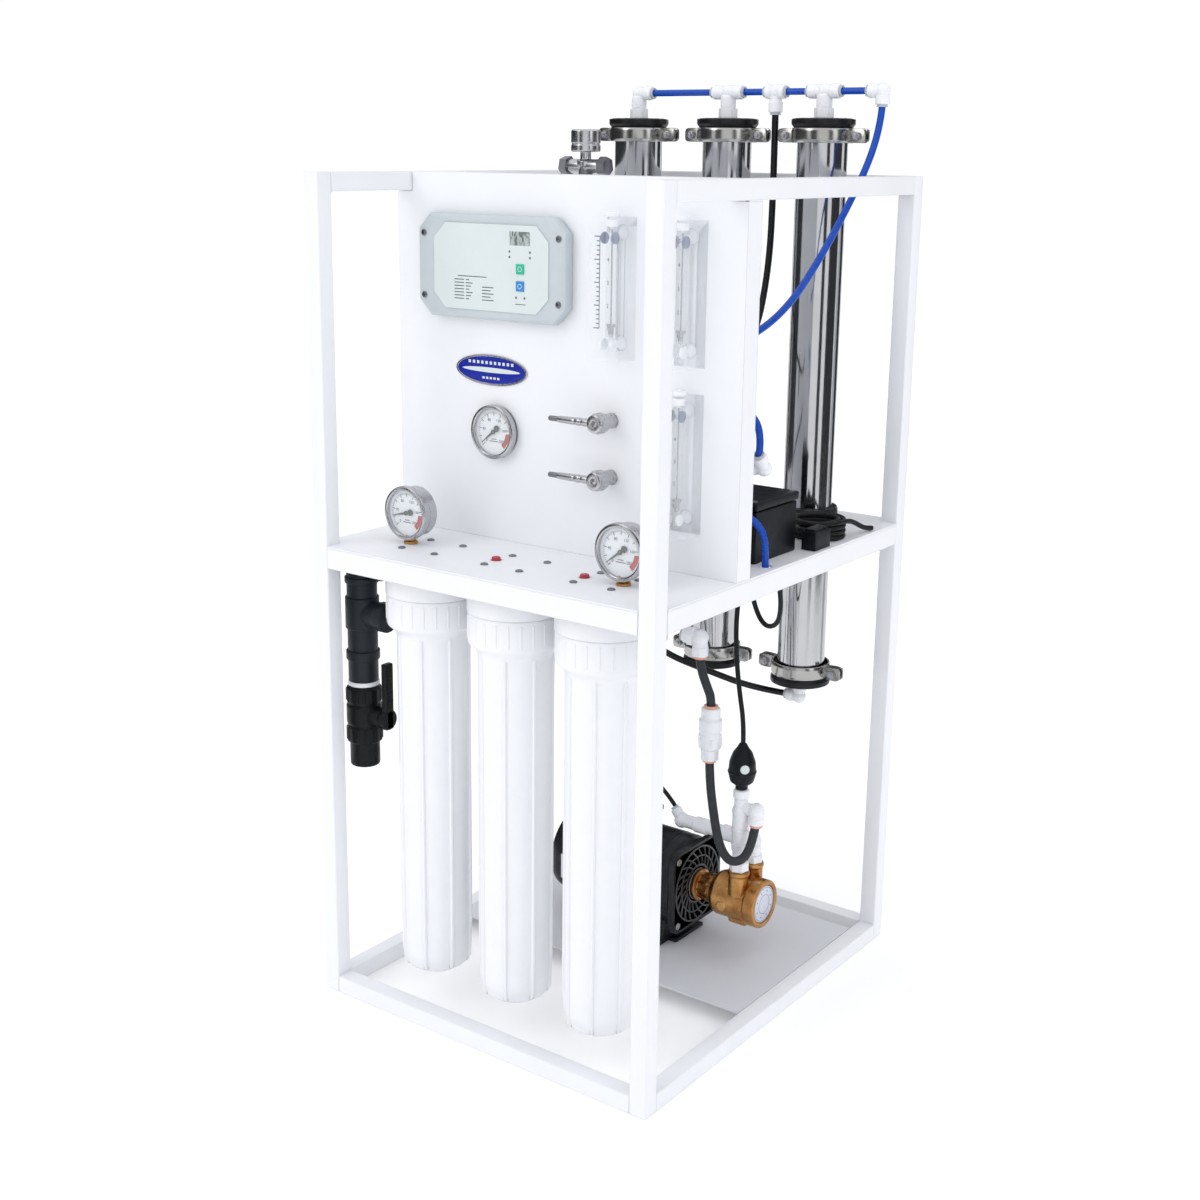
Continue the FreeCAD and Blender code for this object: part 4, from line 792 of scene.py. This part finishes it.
def lever(name, z):
    """Hub, flat arm and ribbed grip, all of which turn about the valve stem."""
    piece = Piece(name + "_lever_handle", "valve_steel", (name + "_lever",), name + "_lever_body")
    hub = Vector((VALVE_X, -164.4, z))
    piece.turn([(4.2, 0), (12.2, 0), (13, 1), (13, 14), (11.6, 19.0), (9.0, 19.6), (4.2, 19.6)], hub, -Y,
               "steel",
               0.8, 40, True)
    for step in range(12):
        angle = math.radians(30 * step)
        x, dz = 12.9 * math.cos(angle), 12.9 * math.sin(angle)
        piece.rod(1.1, (VALVE_X + x, -168, z + dz), (VALVE_X + x, -176, z + dz), "steel", 0.3, 8)
    profile = [(0, 0), (4.2, 0), (5.2, 3), (5.4, 12), (4.6, 15), (5.4, 18), (5.4, 22), (4.6, 25), (5.0, 28),
               (4.4, 52),
               (3.4, 54), (0, 54)]
    piece.turn(profile, (VALVE_X - 8, -177, z), -X, "steel", 0.9)
    piece.turn([(0, 0), (3.4, 0), (3.6, 18), (3.0, 20), (0, 20)], (VALVE_X - 56, -177, z), -X, "dark_screw",
               0.9)
    piece.finish()


# ---------------------------------------------------------------- filter housings

RIB_COUNT = 8


def sump(name, x):
    """Threaded collar, tapered barrel and base, with soft upright ribs."""
    piece = Piece(name + "_sump_shell", "housing_white", (name + "_sump",), name + "_sump_body")
    profile = [(0, 0), (7, 0), (9, 5), (34, 8), (45, 16), (48.5, 34), (50, 497), (54, 505), (63, 513),
               (63, 555),
               (55.4, 555), (55.4, 591), (50.5, 591), (46, 40), (30, 16), (0, 14)]
    piece.turn(profile, (x, FILTER_Y, SUMP_BOTTOM), Z, "white", 3.0, 96)
    for rib in range(RIB_COUNT):
        angle = math.radians(22.5 + 45 * rib)
        out = Vector((math.cos(angle), math.sin(angle), 0))
        across = Vector((-math.sin(angle), math.cos(angle), 0))
        loops = []
        for z, depth in ((60, 46.5), (68, 50.6), (120, 52.3), (480, 52.4), (540, 52.5), (547, 50.8)):
            base = Vector((x, FILTER_Y, z))
            arc = ((46, -3.4), (depth - 1.6, -2.6), (depth, -1.3), (depth, 1.3), (depth - 1.6, 2.6),
                   (46, 3.4))
            loops.append([base + out * r + across * s for r, s in arc])
        piece.skin(loops, "white")
    grips = 24
    for grip in range(grips):
        angle = 2 * math.pi * grip / grips
        out = Vector((math.cos(angle), math.sin(angle), 0)) * 62.3
        piece.rod(1.6, Vector((x, FILTER_Y, 562)) + out, Vector((x, FILTER_Y, 592)) + out, "white", 0.8, 10)
    piece.finish()


def screws():
    """Pan-head screws, each with a flat black square for the painted shade of its cross recess: shelf, panel
    and controller cover.
    """
    top = Piece("shelf_screws", "screw_steel", ("head_screws",))
    for x in FILTERS.values():
        for dx in (-29, 29):
            for dy in (-29, 29):
                pan_screw(top, Vector((x + dx, FILTER_Y + dy, SHELF_TOP)), Z, 5.2, 2.6)
    top.finish()
    face = Piece("panel_face_screws", "screw_steel", ("panel_screws",))
    for x in (-210, -70, 70, 210):
        pan_screw(face, Vector((x, FLANGE_SCREW_Y, SHELF_TOP + 3)), Z, 5.0, 2.6)
    face.finish()
    cover = Piece("cover_corner_screws", "screw_steel", ("cover_screws",))
    for x in (CASE_X[0] + SCREW_INSET_X, CASE_X[1] - SCREW_INSET_X):
        for z in (CASE_Z[0] + SCREW_INSET_Z, CASE_Z[1] - SCREW_INSET_Z):
            pan_screw(cover, Vector((x, COVER_Y, z)), -Y, 4.6, 1.8)
    cover.finish()
    for name, x in (("middle", FILTERS["middle"] - 33), ("right", FILTERS["right"] - 33)):
        button = Piece(name + "_relief_cap", "relief_red", (name + "_relief_button",), name + "_relief_body")
        button.turn([(0, -6), (6, -6), (6, 3.2), (5, 4.4), (0, 4.6)], (x, FILTER_Y, SHELF_TOP), Z, "red",
                    0.8)
        button.finish()


def pan_screw(piece, base, axis, radius, tall):
    piece.turn([(0, 0), (radius, 0), (radius, tall * 0.4), (radius * 0.75, tall * 0.85), (0.1, tall)], base,
               axis,
               "dark_screw", 0.5, 28)
    # The cross recess is not cut: a flat black square on the dome stands in for its painted shade.
    piece.turn([(0, 0), (radius * 0.32, 0), (radius * 0.28, 0.12), (0, 0.12)],
               base + Vector(axis) * (tall * 0.93),
               axis, "needle", 0.02, 4)


stand_frame()
controller()
badge()
gauges()
flowmeters()
lever_valves()
for filter_name, filter_x in FILTERS.items():
    sump(filter_name, filter_x)
screws()


# ---------------------------------------------------------------- membrane housings

def membranes():
    tubes = Piece("membrane_tubes", "polished_steel", ("membrane_housings",))
    caps = Piece("membrane_caps", "cap_black", ("membrane_end_caps",))
    collars = Piece("membrane_shelf_collars", "cap_black", ("membrane_collars",))
    clamps = Piece("membrane_band_clamps", "clamp_steel", ("band_clamps", "clamp_bolts"))
    for x in MEMBRANE_X:
        low, high = MEMBRANE_Z
        base = Vector((x, MEMBRANE_Y, 0))
        tubes.turn([(35, low + 14), (40, low + 14), (40, low + 19), (35, low + 24), (35, high - 24),
                    (40, high - 19),
                    (40, high - 14), (33, high - 14), (33, low + 14)], base, Z, "tube_steel", 1.2, 96, True)
        for z, way in ((low, Z), (high, -Z)):
            caps.turn([(14, 0), (38, 0), (44, 1.2), (44, 8), (39.5, 14), (33, 14), (33, 6), (14, 6)],
                      base + Z * z, way, "black", 0.9, 64, True)
            caps.turn([(0, 1), (14.4, 1), (14.4, 5), (0, 5)], base + Z * z, way, "black", 0.3, 40)
            for rib in range(12):
                angle = 2 * math.pi * rib / 12
                out = Vector((math.cos(angle), math.sin(angle), 0))
                inner, outer = base + Z * z + out * 18, base + Z * z + out * 36
                caps.rod(1.3, inner + way * 1.0, outer + way * 1.0, "black", 0.3, 8)
        collars.turn([(35.3, 0), (44, 0), (44, 20), (42.5, 24), (37, 24), (35.3, 22)], base + Z * SHELF_TOP,
                     Z,
                     "black", 1.2, 64, True)
        for z in (427.0, 1193.0):
            clamp(clamps, base + Z * z)
    for piece in (tubes, caps, collars, clamps):
        piece.finish()


def clamp(piece, base):
    """A V-band in two halves, each with an ear at both ends, and two bolts."""
    piece.turn([(40.2, 0), (42.4, 0), (43.6, 4), (43.6, 16), (42.4, 20), (40.2, 20)], base, Z, "clamp", 1.0,
               80, True)
    for side in (-1, 1):
        for face in (-1, 1):
            y0, y1 = sorted((face * 3.0, face * 6.5))
            outline = soften([Vector((side * x, 0, z)) for x, z in
                              ((40.5, 1), (58, 0), (68, 1), (68, 19), (58, 20), (40.5, 19))], 5, 4, True)
            loops = [[base + p + Y * y for p in outline] for y in (y0, y1)]
            piece.bevel(piece.skin(loops, "clamp"), 0.5, 2)
            piece.rod(1.6, base + Vector((side * 43, face * 3, 4)), base + Vector((side * 43, face * 3, 16)),
                      "clamp", 0.4, 12)
        at = base + Vector((side * 56, 0, 10))
        piece.nut(10.0, at - Y * 12, at - Y * 6.5, "screw", 0.5, 12)
        piece.rod(3.0, at - Y * 16, at + Y * 14, "screw", 0.4, 16)
        piece.nut(10.0, at + Y * 6.5, at + Y * 12, "screw", 0.5, 40)


# ---------------------------------------------------------------- push fittings

def arm(piece, centre, way, tube_r, clip=None):
    """One socket of a push fitting: barrel, collar and the release collet round its tube."""
    centre, way = Vector(centre), Vector(way)
    far = way.length
    outer = tube_r + 5.2
    piece.turn([(0, 0), (outer - 1.2, 0), (outer - 1.2, far * 0.45), (outer, far * 0.5), (outer, far - 1.5),
                (outer - 0.8, far), (tube_r + 0.3, far)], centre, way, "fitting", 0.7, 36)
    piece.turn([(tube_r + 0.25, far - 2), (tube_r + 2.4, far - 2), (tube_r + 2.4, far + 1.6),
                (tube_r + 3.2, far + 2),
                (tube_r + 3.2, far + 3.4), (tube_r + 0.25, far + 3.4)], centre, way, clip or "collet", 0.3,
                28, True)


def ball(piece, centre, radius):
    steps = 9
    profile = [(radius * math.sin(math.pi * k / steps), -radius * math.cos(math.pi * k / steps))
               for k in range(steps + 1)]
    piece.turn(profile, centre, Z, "fitting", 0.0, 36)


def elbow(piece, centre, ways, tube_r, clips=()):
    ball(piece, centre, tube_r + 5.6)
    for index, way in enumerate(ways):
        arm(piece, centre, way, tube_r, "clip" if index in clips else None)


SMALL_R, LARGE_R = 4.75, 6.5
END_ELBOW, LINE_TEE = Vector((257, 230, LINE_Z)), Vector((92, 230, LINE_Z))
FEED_ELBOW, CHECK_X, CHECK_Y = Vector((100, 60, 508)), 121.0, 60.0
LOOP_ELBOW, LOW_ELBOW, PANEL_ELBOW = Vector((192, 77, 262)), Vector((169, 230, 390)), Vector((250, -36, 785))


def top_fittings(piece):
    for index, x in enumerate(MEMBRANE_X):
        base = Vector((x, MEMBRANE_Y, MEMBRANE_Z[1]))
        piece.nut(24.0, base, base + Z * 14, "fitting", 0.8, 20)
        piece.turn([(0, 14), (10, 14), (11, 16), (11, 30), (9, 33), (0, 36)], base, Z, "fitting", 0.7)
        ways = [X * 24] if index == 0 else [X * 24, -X * 24]
        elbow(piece, base + Z * 36, ways, SMALL_R)
    elbow(piece, END_ELBOW, [-X * 20, -Z * 18], SMALL_R)
    elbow(piece, LINE_TEE, [X * 15, -X * 15, -Z * 28], SMALL_R)


def low_fittings(piece):
    base = Vector((MEMBRANE_X[2], MEMBRANE_Y, MEMBRANE_Z[0]))
    elbow(piece, LOW_ELBOW, [-X * 20, Z * 20], SMALL_R)
    piece.rod(8.0, base - Z * 6, base, "fitting")
    elbow(piece, PANEL_ELBOW, [-X * 20, Vector((0, -14, 18))], SMALL_R)
    elbow(piece, FEED_ELBOW, [-X * 27, -Z * 27], LARGE_R, (1,))
    piece.nut(26.0, FEED_ELBOW - X * 18, FEED_ELBOW - X * 8, "fitting", 0.8, 15)


def check_valve(piece):
    """White two-part body with a collar and a coloured clip at both ends."""
    base = Vector((CHECK_X, CHECK_Y, 330))
    piece.turn([(7, 0), (13, 0), (13, 16), (16.2, 18), (17, 20), (17, 38), (15.6, 39.5), (15.6, 42),
                (17, 43.5),
                (17, 60), (14, 63), (14, 76), (13, 78), (7, 78)], base, Z, "fitting", 0.8, 48, True)
    piece.nut(33.0, base + Z * 24, base + Z * 35, "fitting", 1.0, 10)
    for height, way in ((78, Z), (0, -Z)):
        piece.turn([(6.8, 0), (10.4, 0), (10.4, 3.4), (6.8, 3.4)], base + Z * height, way, "clip", 0.3, 32,
                   True)


def pump_fittings(piece):
    inlet = Vector((PORT_X, PORT_Y[0], PORT_TOP))
    piece.nut(25.0, inlet, inlet + Z * 14, "fitting", 0.9, 18)
    piece.turn([(0, 14), (10, 14), (10, 30), (12, 33), (12, 97), (10, 100), (10, 112), (12, 114), (12, 124),
                (9.5, 126), (0, 126)], inlet, Z, "fitting", 0.8, 44)
    for height in (40, 62, 90):
        piece.turn([(12, 0), (12.9, 0.6), (12.9, 3.4), (12, 4)], inlet + Z * height, Z, "fitting", 0.3, 44,
                   True)
    branch = Vector((PORT_X, PORT_Y[0], LOOP_ELBOW.z))
    piece.rod(9.0, branch, LOOP_ELBOW, "fitting")
    elbow(piece, LOOP_ELBOW, [-Z * 20], LARGE_R, (0,))
    outlet = Vector((PORT_X, PORT_Y[1], PORT_TOP))
    piece.nut(25.0, outlet, outlet + Z * 12, "fitting", 0.9, 5)
    piece.turn([(0, 12), (11, 12), (11, 24), (0, 32)], outlet, Z, "fitting")
    corner = outlet + Z * 32
    ball(piece, corner, 12.0)
    piece.turn([(0, 0), (12, 0), (12, 16), (10, 18), (10, 30), (12, 32), (12, 52), (10, 54), (10, 78),
                (12, 80),
                (12, 100), (10, 102), (10, 126), (0, 126)], corner, -X, "fitting", 0.8, 40)
    far = Vector((40, PORT_Y[1], corner.z))
    ball(piece, far, 12.0)
    arm(piece, far, Vector((-12, 0, 16)), 3.25)


def push_fittings():
    piece = Piece("push_fittings_white", "fitting_white", ("push_fittings",))
    top_fittings(piece)
    low_fittings(piece)
    check_valve(piece)
    pump_fittings(piece)
    piece.finish()


# ---------------------------------------------------------------- tubes and cables

BLUE_ROUTES = [
    [(-129, 230, LINE_Z), (-90, 230, LINE_Z), (-40, 230, LINE_Z), (3, 230, LINE_Z)],
    [(26, 230, LINE_Z), (50, 230, LINE_Z), (70, 230, LINE_Z), (88, 230, LINE_Z)],
    [(96, 230, LINE_Z), (116, 230, LINE_Z), (136, 230, LINE_Z), (157, 230, LINE_Z)],
    [(181, 230, LINE_Z), (204, 230, LINE_Z), (226, 230, LINE_Z), (247, 230, LINE_Z)],
    [(257, 230, 1242), (256, 229, 1218), (249, 218, 1172), (246, 176, 1120), (245, 105, 1051),
     (244, 30, 992),
     (236, -36, 958), (214, -78, 945), (202, -111, 942)],
    [(202, -111, 869), (210, -78, 872), (238, -50, 858), (252, -48, 830), (250, -50, 803)],
    [(202, -111, 733), (210, -84, 736), (240, -64, 730), (261, -50, 708), (262, -44, 672), (262, -44, 640)],
]
BLACK_ROUTES = [
    [(92, 230, 1232), (92, 231, 1170), (92, 231, 1110), (92, 229, 1050), (92, 221, 1000), (92, 206, 950),
     (92, 178, 908), (91, 130, 880), (89, 70, 860), (87, 0, 848), (86, -60, 843), (86, -103, 843)],
    [(147, 230, 390), (106, 196, 400), (62, 144, 430), (14, 100, 458), (-34, 72, 500), (-56, 62, 556),
     (-60, 60, 606), (-60, 60, 674), (-38, 36, 716), (24, -20, 748), (86, -58, 769), (86, -103, 769)],
]
HOSE_ROUTES = [
    [(100, 60, 478), (102, 60, 462), (114, 60, 436), (121, 60, 422), (121, 60, 404)],
    [(121, 60, 334), (122, 60, 300), (134, 54, 252), (150, 46, 208), (170, 44, 188), (190, 52, 196),
     (194, 66, 222), (192, 77, 244)],
]
SWITCH_ROUTES = [[(30, 117, 212), (18, 117, 226), (-4, 110, 250), (-30, 96, 290), (-60, 80, 350)]]
CABLE_ROUTES = [
    [(166, 77, 360), (166, 77, 390), (156, 78, 436), (146, 82, 492), (140, 90, 548), (145, 96, 604),
     (146, 92, 663)],
    [(230, 46, 659), (230, 46, 622), (226, 66, 576), (206, 92, 538), (178, 104, 528), (160, 104, 556),
     (154, 98, 604), (154, 92, 663)],
]


def tubes():
    tubing("blue_lines", BLUE_ROUTES, 9.5, "tube_blue", ("blue_tubes",))
    tubing("black_lines", BLACK_ROUTES, 9.5, "tube_black", ("black_tubes",))
    tubing("feed_hoses", HOSE_ROUTES, 13.0, "hose")
    tubing("switch_line", SWITCH_ROUTES, 6.5, "tube_black")
    tubing("control_leads", CABLE_ROUTES, 7.0, "cable", ("control_cables",))


# ---------------------------------------------------------------- pump and motor

def pump():
    body = Piece("pump_casting", "pump_brass", ("pump_body",))
    start = Vector((PUMP_X[0], SHAFT.y, SHAFT.z))
    body.turn([(0.1, 0), (24, 0), (24, 5), (18, 7), (18, 20), (22, 24), (22, 31), (31, 37), (33.5, 42),
               (33.5, 90), (32.6, 94), (36, 97), (36, 112), (34.8, 114), (28.2, 114), (28.2, 110),
               (0.1, 110)],
              start, X, "brass", 1.2, 72)
    for rib in range(10):
        angle = 2 * math.pi * rib / 10
        out = Vector((0, math.cos(angle), math.sin(angle)))
        body.rod(2.0, start + X * 7 + out * 18, start + X * 25 + out * 21, "brass", 0.6, 10)
    for y in PORT_Y:
        port = Vector((PORT_X, y, SHAFT.z + 14))
        body.turn([(0, 0), (14.6, 0), (14.6, 30), (16, 32), (16, 36.5), (14.8, 38), (0, 38)], port, Z,
                  "brass", 0.9, 40)
    body.block((150, SHAFT.y - 22, 78), (182, SHAFT.y + 22, 118), "brass", 5.0, 3)
    body.turn([(0, 0), (9, 0), (9, 8), (7.5, 10), (0, 10)], (146, SHAFT.y - 26, SHAFT.z - 6), -Y, "brass",
              0.8, 6)
    body.finish()
    plate = Piece("pump_name_disc", "face_steel", ("pump_faceplate",))
    disc = Vector((196.2, SHAFT.y, SHAFT.z))
    plate.turn([(0, 0), (27.8, 0), (27.8, 1.8), (27.2, 2.4), (0, 2.4)], disc, X, "plate", 0.3, 64)
    for radius in (25.0, 14.0):
        plate.turn([(radius, 0), (radius + 0.6, 0), (radius + 0.6, 0.12), (radius, 0.12)], disc + X * 2.36,
                   X,
                   "print_blue", 0.02, 64, True)
    for step in range(8):
        angle = math.radians(45 * step + 22)
        out = Vector((0, math.cos(angle), math.sin(angle)))
        plate.rod(1.1, disc + X * 2.2 + out * 20, disc + X * 2.6 + out * 20, "print_blue", 0.05, 12)
    plate.finish()


BELL_SLOTS, FLANGE_HALF = 22, 64.0


def motor():
    """Drum with a square slotted flange, terminal box, and a cradle with two feet."""
    shell = Piece("motor_casing", "motor_black", ("motor_shell",))
    x0, x1 = MOTOR_X
    start = Vector((x0, SHAFT.y, SHAFT.z))
    length = x1 - x0
    shell.turn([(0, 8), (20, 8), (24, 2), (52, 0), (64, 6), (68, 18), (68, 30), (70, 31), (70, length - 38),
                (68.5, length - 37), (69.5, length - 34), (69.5, length - 20), (66, length - 11),
                (0.1, length - 11)], start, X, "motor", 1.6, 96)
    half, round_r = FLANGE_HALF, 20.0
    corners = [Vector((0, a, b)) for a, b in ((-half, -half), (half, -half), (half, half), (-half, half))]
    for depth, paint, shrink in ((10.5, "motor", 1.0), (4.0, "motor", 0.93)):
        outline = soften([p * shrink for p in corners], round_r, 8, True)
        loops = [[p + Vector((x1 - depth + k, SHAFT.y, SHAFT.z)) for p in outline] for k in (0, depth - 1.5)]
        shell.bevel(shell.skin(loops, paint), 1.0, 2)
    face = Vector((x1 - 1.4, SHAFT.y, SHAFT.z))
    # Rings and slot ridges in the lighter copy of the motor black: painted highlight on the bell face.
    for radius, wide in ((56.0, 3.0), (42.0, 2.4), (27.0, 3.4)):
        shell.turn([(radius, -0.5), (radius, 1.2), (radius + wide, 1.2), (radius + wide, -0.5)], face, X,
                   "motor_fin_highlight",
                   0.5, 72, True)
    for slot in range(BELL_SLOTS):
        angle = 2 * math.pi * slot / BELL_SLOTS
        line = []
        for step in range(5):
            radius = 29.0 + step * 7.0
            swing = angle + 0.11 * step
            line.append(face + Vector((0, radius * math.cos(swing), radius * math.sin(swing))))
        shell.sweep(line, 1.6, "motor_fin_highlight", False, 8, 4.0)
    shell.turn([(0, 0), (24, 0), (24, 1.6), (17, 2.4), (0, 2.4)], face, X, "screw", 0.5, 48)
    for side in range(4):
        angle = math.radians(45 + 90 * side)
        out = Vector((0, math.cos(angle), math.sin(angle))) * 72
        shell.nut(10.0, face + out - X * 1.5, face + out + X * 1.3, "screw", 0.5)
    shell.block((-81, 67, 172), (-1, 127, 206), "motor", 4.0, 3)
    shell.block((-82, 66, 199), (0, 128, 208), "motor", 2.5, 3)
    shell.block((-120, 24.9, 90), (-60, 26.8, 130), "plate", 0.4, 1)
    shell.finish()
    base = Piece("motor_cradle", "motor_black", ("motor_base",))
    for x in (-108.0, 45.0):
        loops = []
        outline = [(35, 25.4), (159, 25.4), (159, 32), (150, 36), (138, 78), (130, 72), (97, 57), (64, 72),
                   (56, 78),
                   (44, 36), (35, 32)]
        for dx in (-13, 13):
            loops.append([Vector((x + dx, y, z)) for y, z in outline])
        base.bevel(base.skin(loops, "motor"), 1.2, 2)
        for y in (41.0, 153.0):
            base.nut(9.0, (x, y, 31.0), (x, y, 36.5), "screw", 0.5, 20)
    base.block((-121, 60, 25.4), (72, 134, 31), "motor", 1.4, 2)
    base.finish()


def switch():
    """Pear-shaped pressure switch with a clear window in its cap."""
    piece = Piece("pressure_switch_body", "switch_black", ("pressure_switch",))
    base = Vector((PORT_X, PORT_Y[0], 290))
    piece.turn([(0, 0), (9, 0), (9, 6), (17, 12), (20, 24), (20, 28), (19, 42), (14, 56), (8, 64), (5, 70),
                (0, 70)], base, Z, "box", 2.2, 56)
    piece.turn([(20, 0), (20.8, 0.8), (20.8, 3.4), (20, 4.2)], base + Z * 25, Z, "box", 0.4, 56, True)
    for step in range(12):
        angle = 2 * math.pi * step / 12
        out = Vector((math.cos(angle), math.sin(angle), 0))
        piece.rod(1.2, base + Z * 8 + out * 10, base + Z * 19 + out * 17.6, "box", 0.4, 8)
    piece.turn([(0, 0), (6.6, 0), (6.6, 1.8), (5.6, 2.6), (0, 2.6)], base + Vector((12.2, -13.4, 36)),
               Vector((0.67, -0.74, 0.1)), "overlay", 0.4, 24)
    piece.finish()


# ---------------------------------------------------------------- feed line

def feed_line():
    pipe = Piece("feed_pipe_line", "pvc_grey", ("feed_pipe",))
    base = Vector((FEED_X, FEED_Y, 0))
    pipe.turn([(0, 453), (21.1, 453), (21.1, 626), (0, 626)], base, Z, "pvc")
    ball(pipe, base + Z * 626, 21.1)
    pipe.turn([(0, 0), (19, 0), (19, 30), (22, 31), (22, 42), (0, 42)], base + Z * 626, X, "pvc", 0.8)
    pipe.turn([(0, 0), (19, 0), (19, 36), (21, 37), (21, 50), (19.5, 51), (0, 51)], base + Z * 553, X,
              "pvc", 0.8)
    for low, high in ((596, 606), (531, 577), (486, 500)):
        pipe.turn([(21, low), (23.6, low + 1), (23.6, high - 1), (21, high)], base, Z, "pvc", 0.7, 48, True)
    pipe.turn([(20.8, 448), (22.3, 449.5), (22.3, 454), (20.8, 455.5)], base, Z, "tape", 0.6, 48, True)
    pipe.finish()
    valve = Piece("feed_valve_body", "pvc_black", ("feed_valve",))
    profile = [(0, 0), (20, 0), (21, 2), (21, 34), (24.5, 36), (24.5, 58), (23.5, 60), (25, 64), (25, 88),
               (23.5, 92),
               (24.5, 94), (24.5, 114), (22, 116), (22, 121), (0, 121)]
    valve.turn(profile, base + Z * 331, Z, "pvc_dark", 1.0, 64)
    for step in range(16):
        out = Vector((math.cos(math.pi * step / 8), math.sin(math.pi * step / 8), 0)) * 24.2
        for low, high in ((368, 388), (426, 444)):
            valve.rod(1.5, base + out + Z * low, base + out + Z * high, "pvc_dark", 0.5, 8)
    valve.turn([(0, 0), (16, 0), (15, 30), (15, 38), (0, 38)], base + Z * FEED_VALVE_Z, X, "pvc_dark", 0.8)
    valve.finish()
    handle = Piece("feed_handle_lever", "pvc_black", ("feed_handle",), "feed_handle_body")
    hub = Vector((-216.5, FEED_Y, FEED_VALVE_Z))
    handle.turn([(0, 0), (15, 0), (15, 9), (13, 11.5), (0, 11.5)], hub, X, "pvc_dark", 1.0)
    handle.block((-215, FEED_Y - 8, 391), (-205, FEED_Y + 8, 487), "pvc_dark", 3.0, 3)
    for z in (432, 444, 456, 468):
        handle.rod(1.2, (-205.2, FEED_Y - 5.5, z), (-205.2, FEED_Y + 5.5, z), "pvc_dark", 0.4, 8)
    handle.finish()


# ---------------------------------------------------------------- electrical box

def electrical_box():
    piece = Piece("electrical_enclosure", "cap_black", ("electrical_box",))
    piece.block((166, -48, SHELF_TOP), (248, 58, 728), "box", 2.5, 3)
    piece.block((164, -50, 729.5), (250, 60, 741), "box", 3.0, 3)
    for x in (172, 242):
        for y in (-42, 52):
            pan_screw(piece, Vector((x, y, 740.6)), Z, 3.6, 1.6)
    gland = Vector((228, 58, 681))
    piece.nut(18.0, gland, gland + Y * 5, "box", 0.6, 20)
    piece.turn([(3.6, 5), (8.2, 5), (8.2, 10), (6.6, 13), (5.4, 26), (4.4, 38), (3.6, 38)], gland, Y,
               "rubber", 0.5,
               32, True)
    piece.block((252, 66, SHELF_TOP), (274, 108, 685), "box", 1.6, 3)
    piece.block((255, 69, 684.5), (271, 105, 688), "box", 1.0, 2)
    piece.finish()


membranes()
push_fittings()
tubes()
pump()
motor()
switch()
feed_line()
electrical_box()

DRESSED = {
    "shelf_plate": "sheet", "shelf_lips": "sheet", "control_panel": "sheet", "base_plate": "base",
    "filter_heads": "white", "filter_cartridges": "pleat", "o_rings": "rubber",
    "membrane_elements": "element",
    "gauge_lenses": "glass", "flowmeter_bodies": "acrylic", "drive_shaft": "screw",
    "left_float": "steel", "upper_float": "steel", "lower_float": "steel",
    "panel_needle": "needle", "left_needle": "needle", "right_needle": "needle",
}
for node_name, paint_name in DRESSED.items():
    dress(node_name, paint_name)


# ---------------------------------------------------------------- light and surroundings

def area_light(name, place, target, size, power, colour=(1, 1, 1)):
    data = bpy.data.lights.new(name, "AREA")
    data.shape = "RECTANGLE"
    data.size, data.size_y = size
    data.energy = power
    data.color = colour
    lamp = bpy.data.objects.new(name, data)
    place, target = Vector(place), Vector(target)
    lamp.matrix_world = Matrix.Translation(place) @ (target - place).to_track_quat("-Z",
                                                                                   "Y").to_matrix().to_4x4()
    bpy.context.scene.collection.objects.link(lamp)
    return lamp


def floor():
    mesh = bpy.data.meshes.new("floor")
    reach = 14.0
    corners = [(-reach, -reach, 0), (reach, -reach, 0), (reach, reach, 0), (-reach, reach, 0)]
    mesh.from_pydata(corners, [], [(0, 1, 2, 3)])
    paint = Paint("floor_white", roughness=0.85)
    paint.colour(paint.noise(600), *around((0.97, 0.97, 0.972), 0.004))
    paint.shader.inputs["Emission Color"].default_value = (1, 1, 1, 1)
    paint.shader.inputs["Emission Strength"].default_value = 0.1
    mesh.materials.append(paint.material)
    made = bpy.data.objects.new("floor", mesh)
    bpy.context.scene.collection.objects.link(made)


def dark_card(name, place, size, spin):
    """A dark panel that only reflections see, which gives bright metal its dark stripes."""
    mesh = bpy.data.meshes.new(name)
    wide, tall = size[0] / 2, size[1] / 2
    mesh.from_pydata([(-wide, 0, -tall), (wide, 0, -tall), (wide, 0, tall), (-wide, 0, tall)], [],
                     [(0, 1, 2, 3)])
    paint = Paint(name, roughness=0.9)
    paint.colour(paint.noise(400), *around((0.03, 0.03, 0.034), 0.1))
    mesh.materials.append(paint.material)
    made = bpy.data.objects.new(name, mesh)
    made.matrix_world = Matrix.Translation(place) @ Matrix.Rotation(math.radians(spin), 4, "Z")
    made.visible_camera = False
    made.visible_diffuse = False
    made.visible_shadow = False
    made.visible_transmission = False
    bpy.context.scene.collection.objects.link(made)


CARDS = [(-152, 64), (-92, 26), (-28, 14), (18, 44), (70, 30), (172, 50), (118, 30)]
CARD_DISTANCE, CARD_MIDDLE, CARD_TALL = 3.2, 1.1, 4.0


def surroundings():
    world = bpy.data.worlds.new("studio")
    world.use_nodes = True
    background = world.node_tree.nodes["Background"]
    background.inputs["Color"].default_value = (0.97, 0.98, 1.0, 1)
    background.inputs["Strength"].default_value = 1.06
    bpy.context.scene.world = world
    bpy.context.scene.view_settings.view_transform = "Standard"
    floor()
    area_light("key", (-1.6, -3.0, 3.0), (0, 0, 0.6), (1.6, 2.0), 22)
    area_light("fill", (3.6, -0.6, 2.2), (0, 0, 0.6), (1.2, 2.4), 8, (0.93, 0.95, 1))
    for number, (azimuth, wide) in enumerate(CARDS):
        turn = math.radians(azimuth)
        place = Vector((math.cos(turn), math.sin(turn), 0)) * CARD_DISTANCE + Z * CARD_MIDDLE
        size = (2 * CARD_DISTANCE * math.tan(math.radians(wide / 2)), CARD_TALL)
        dark_card(f"card_{number}", place, size, azimuth - 90)


surroundings()
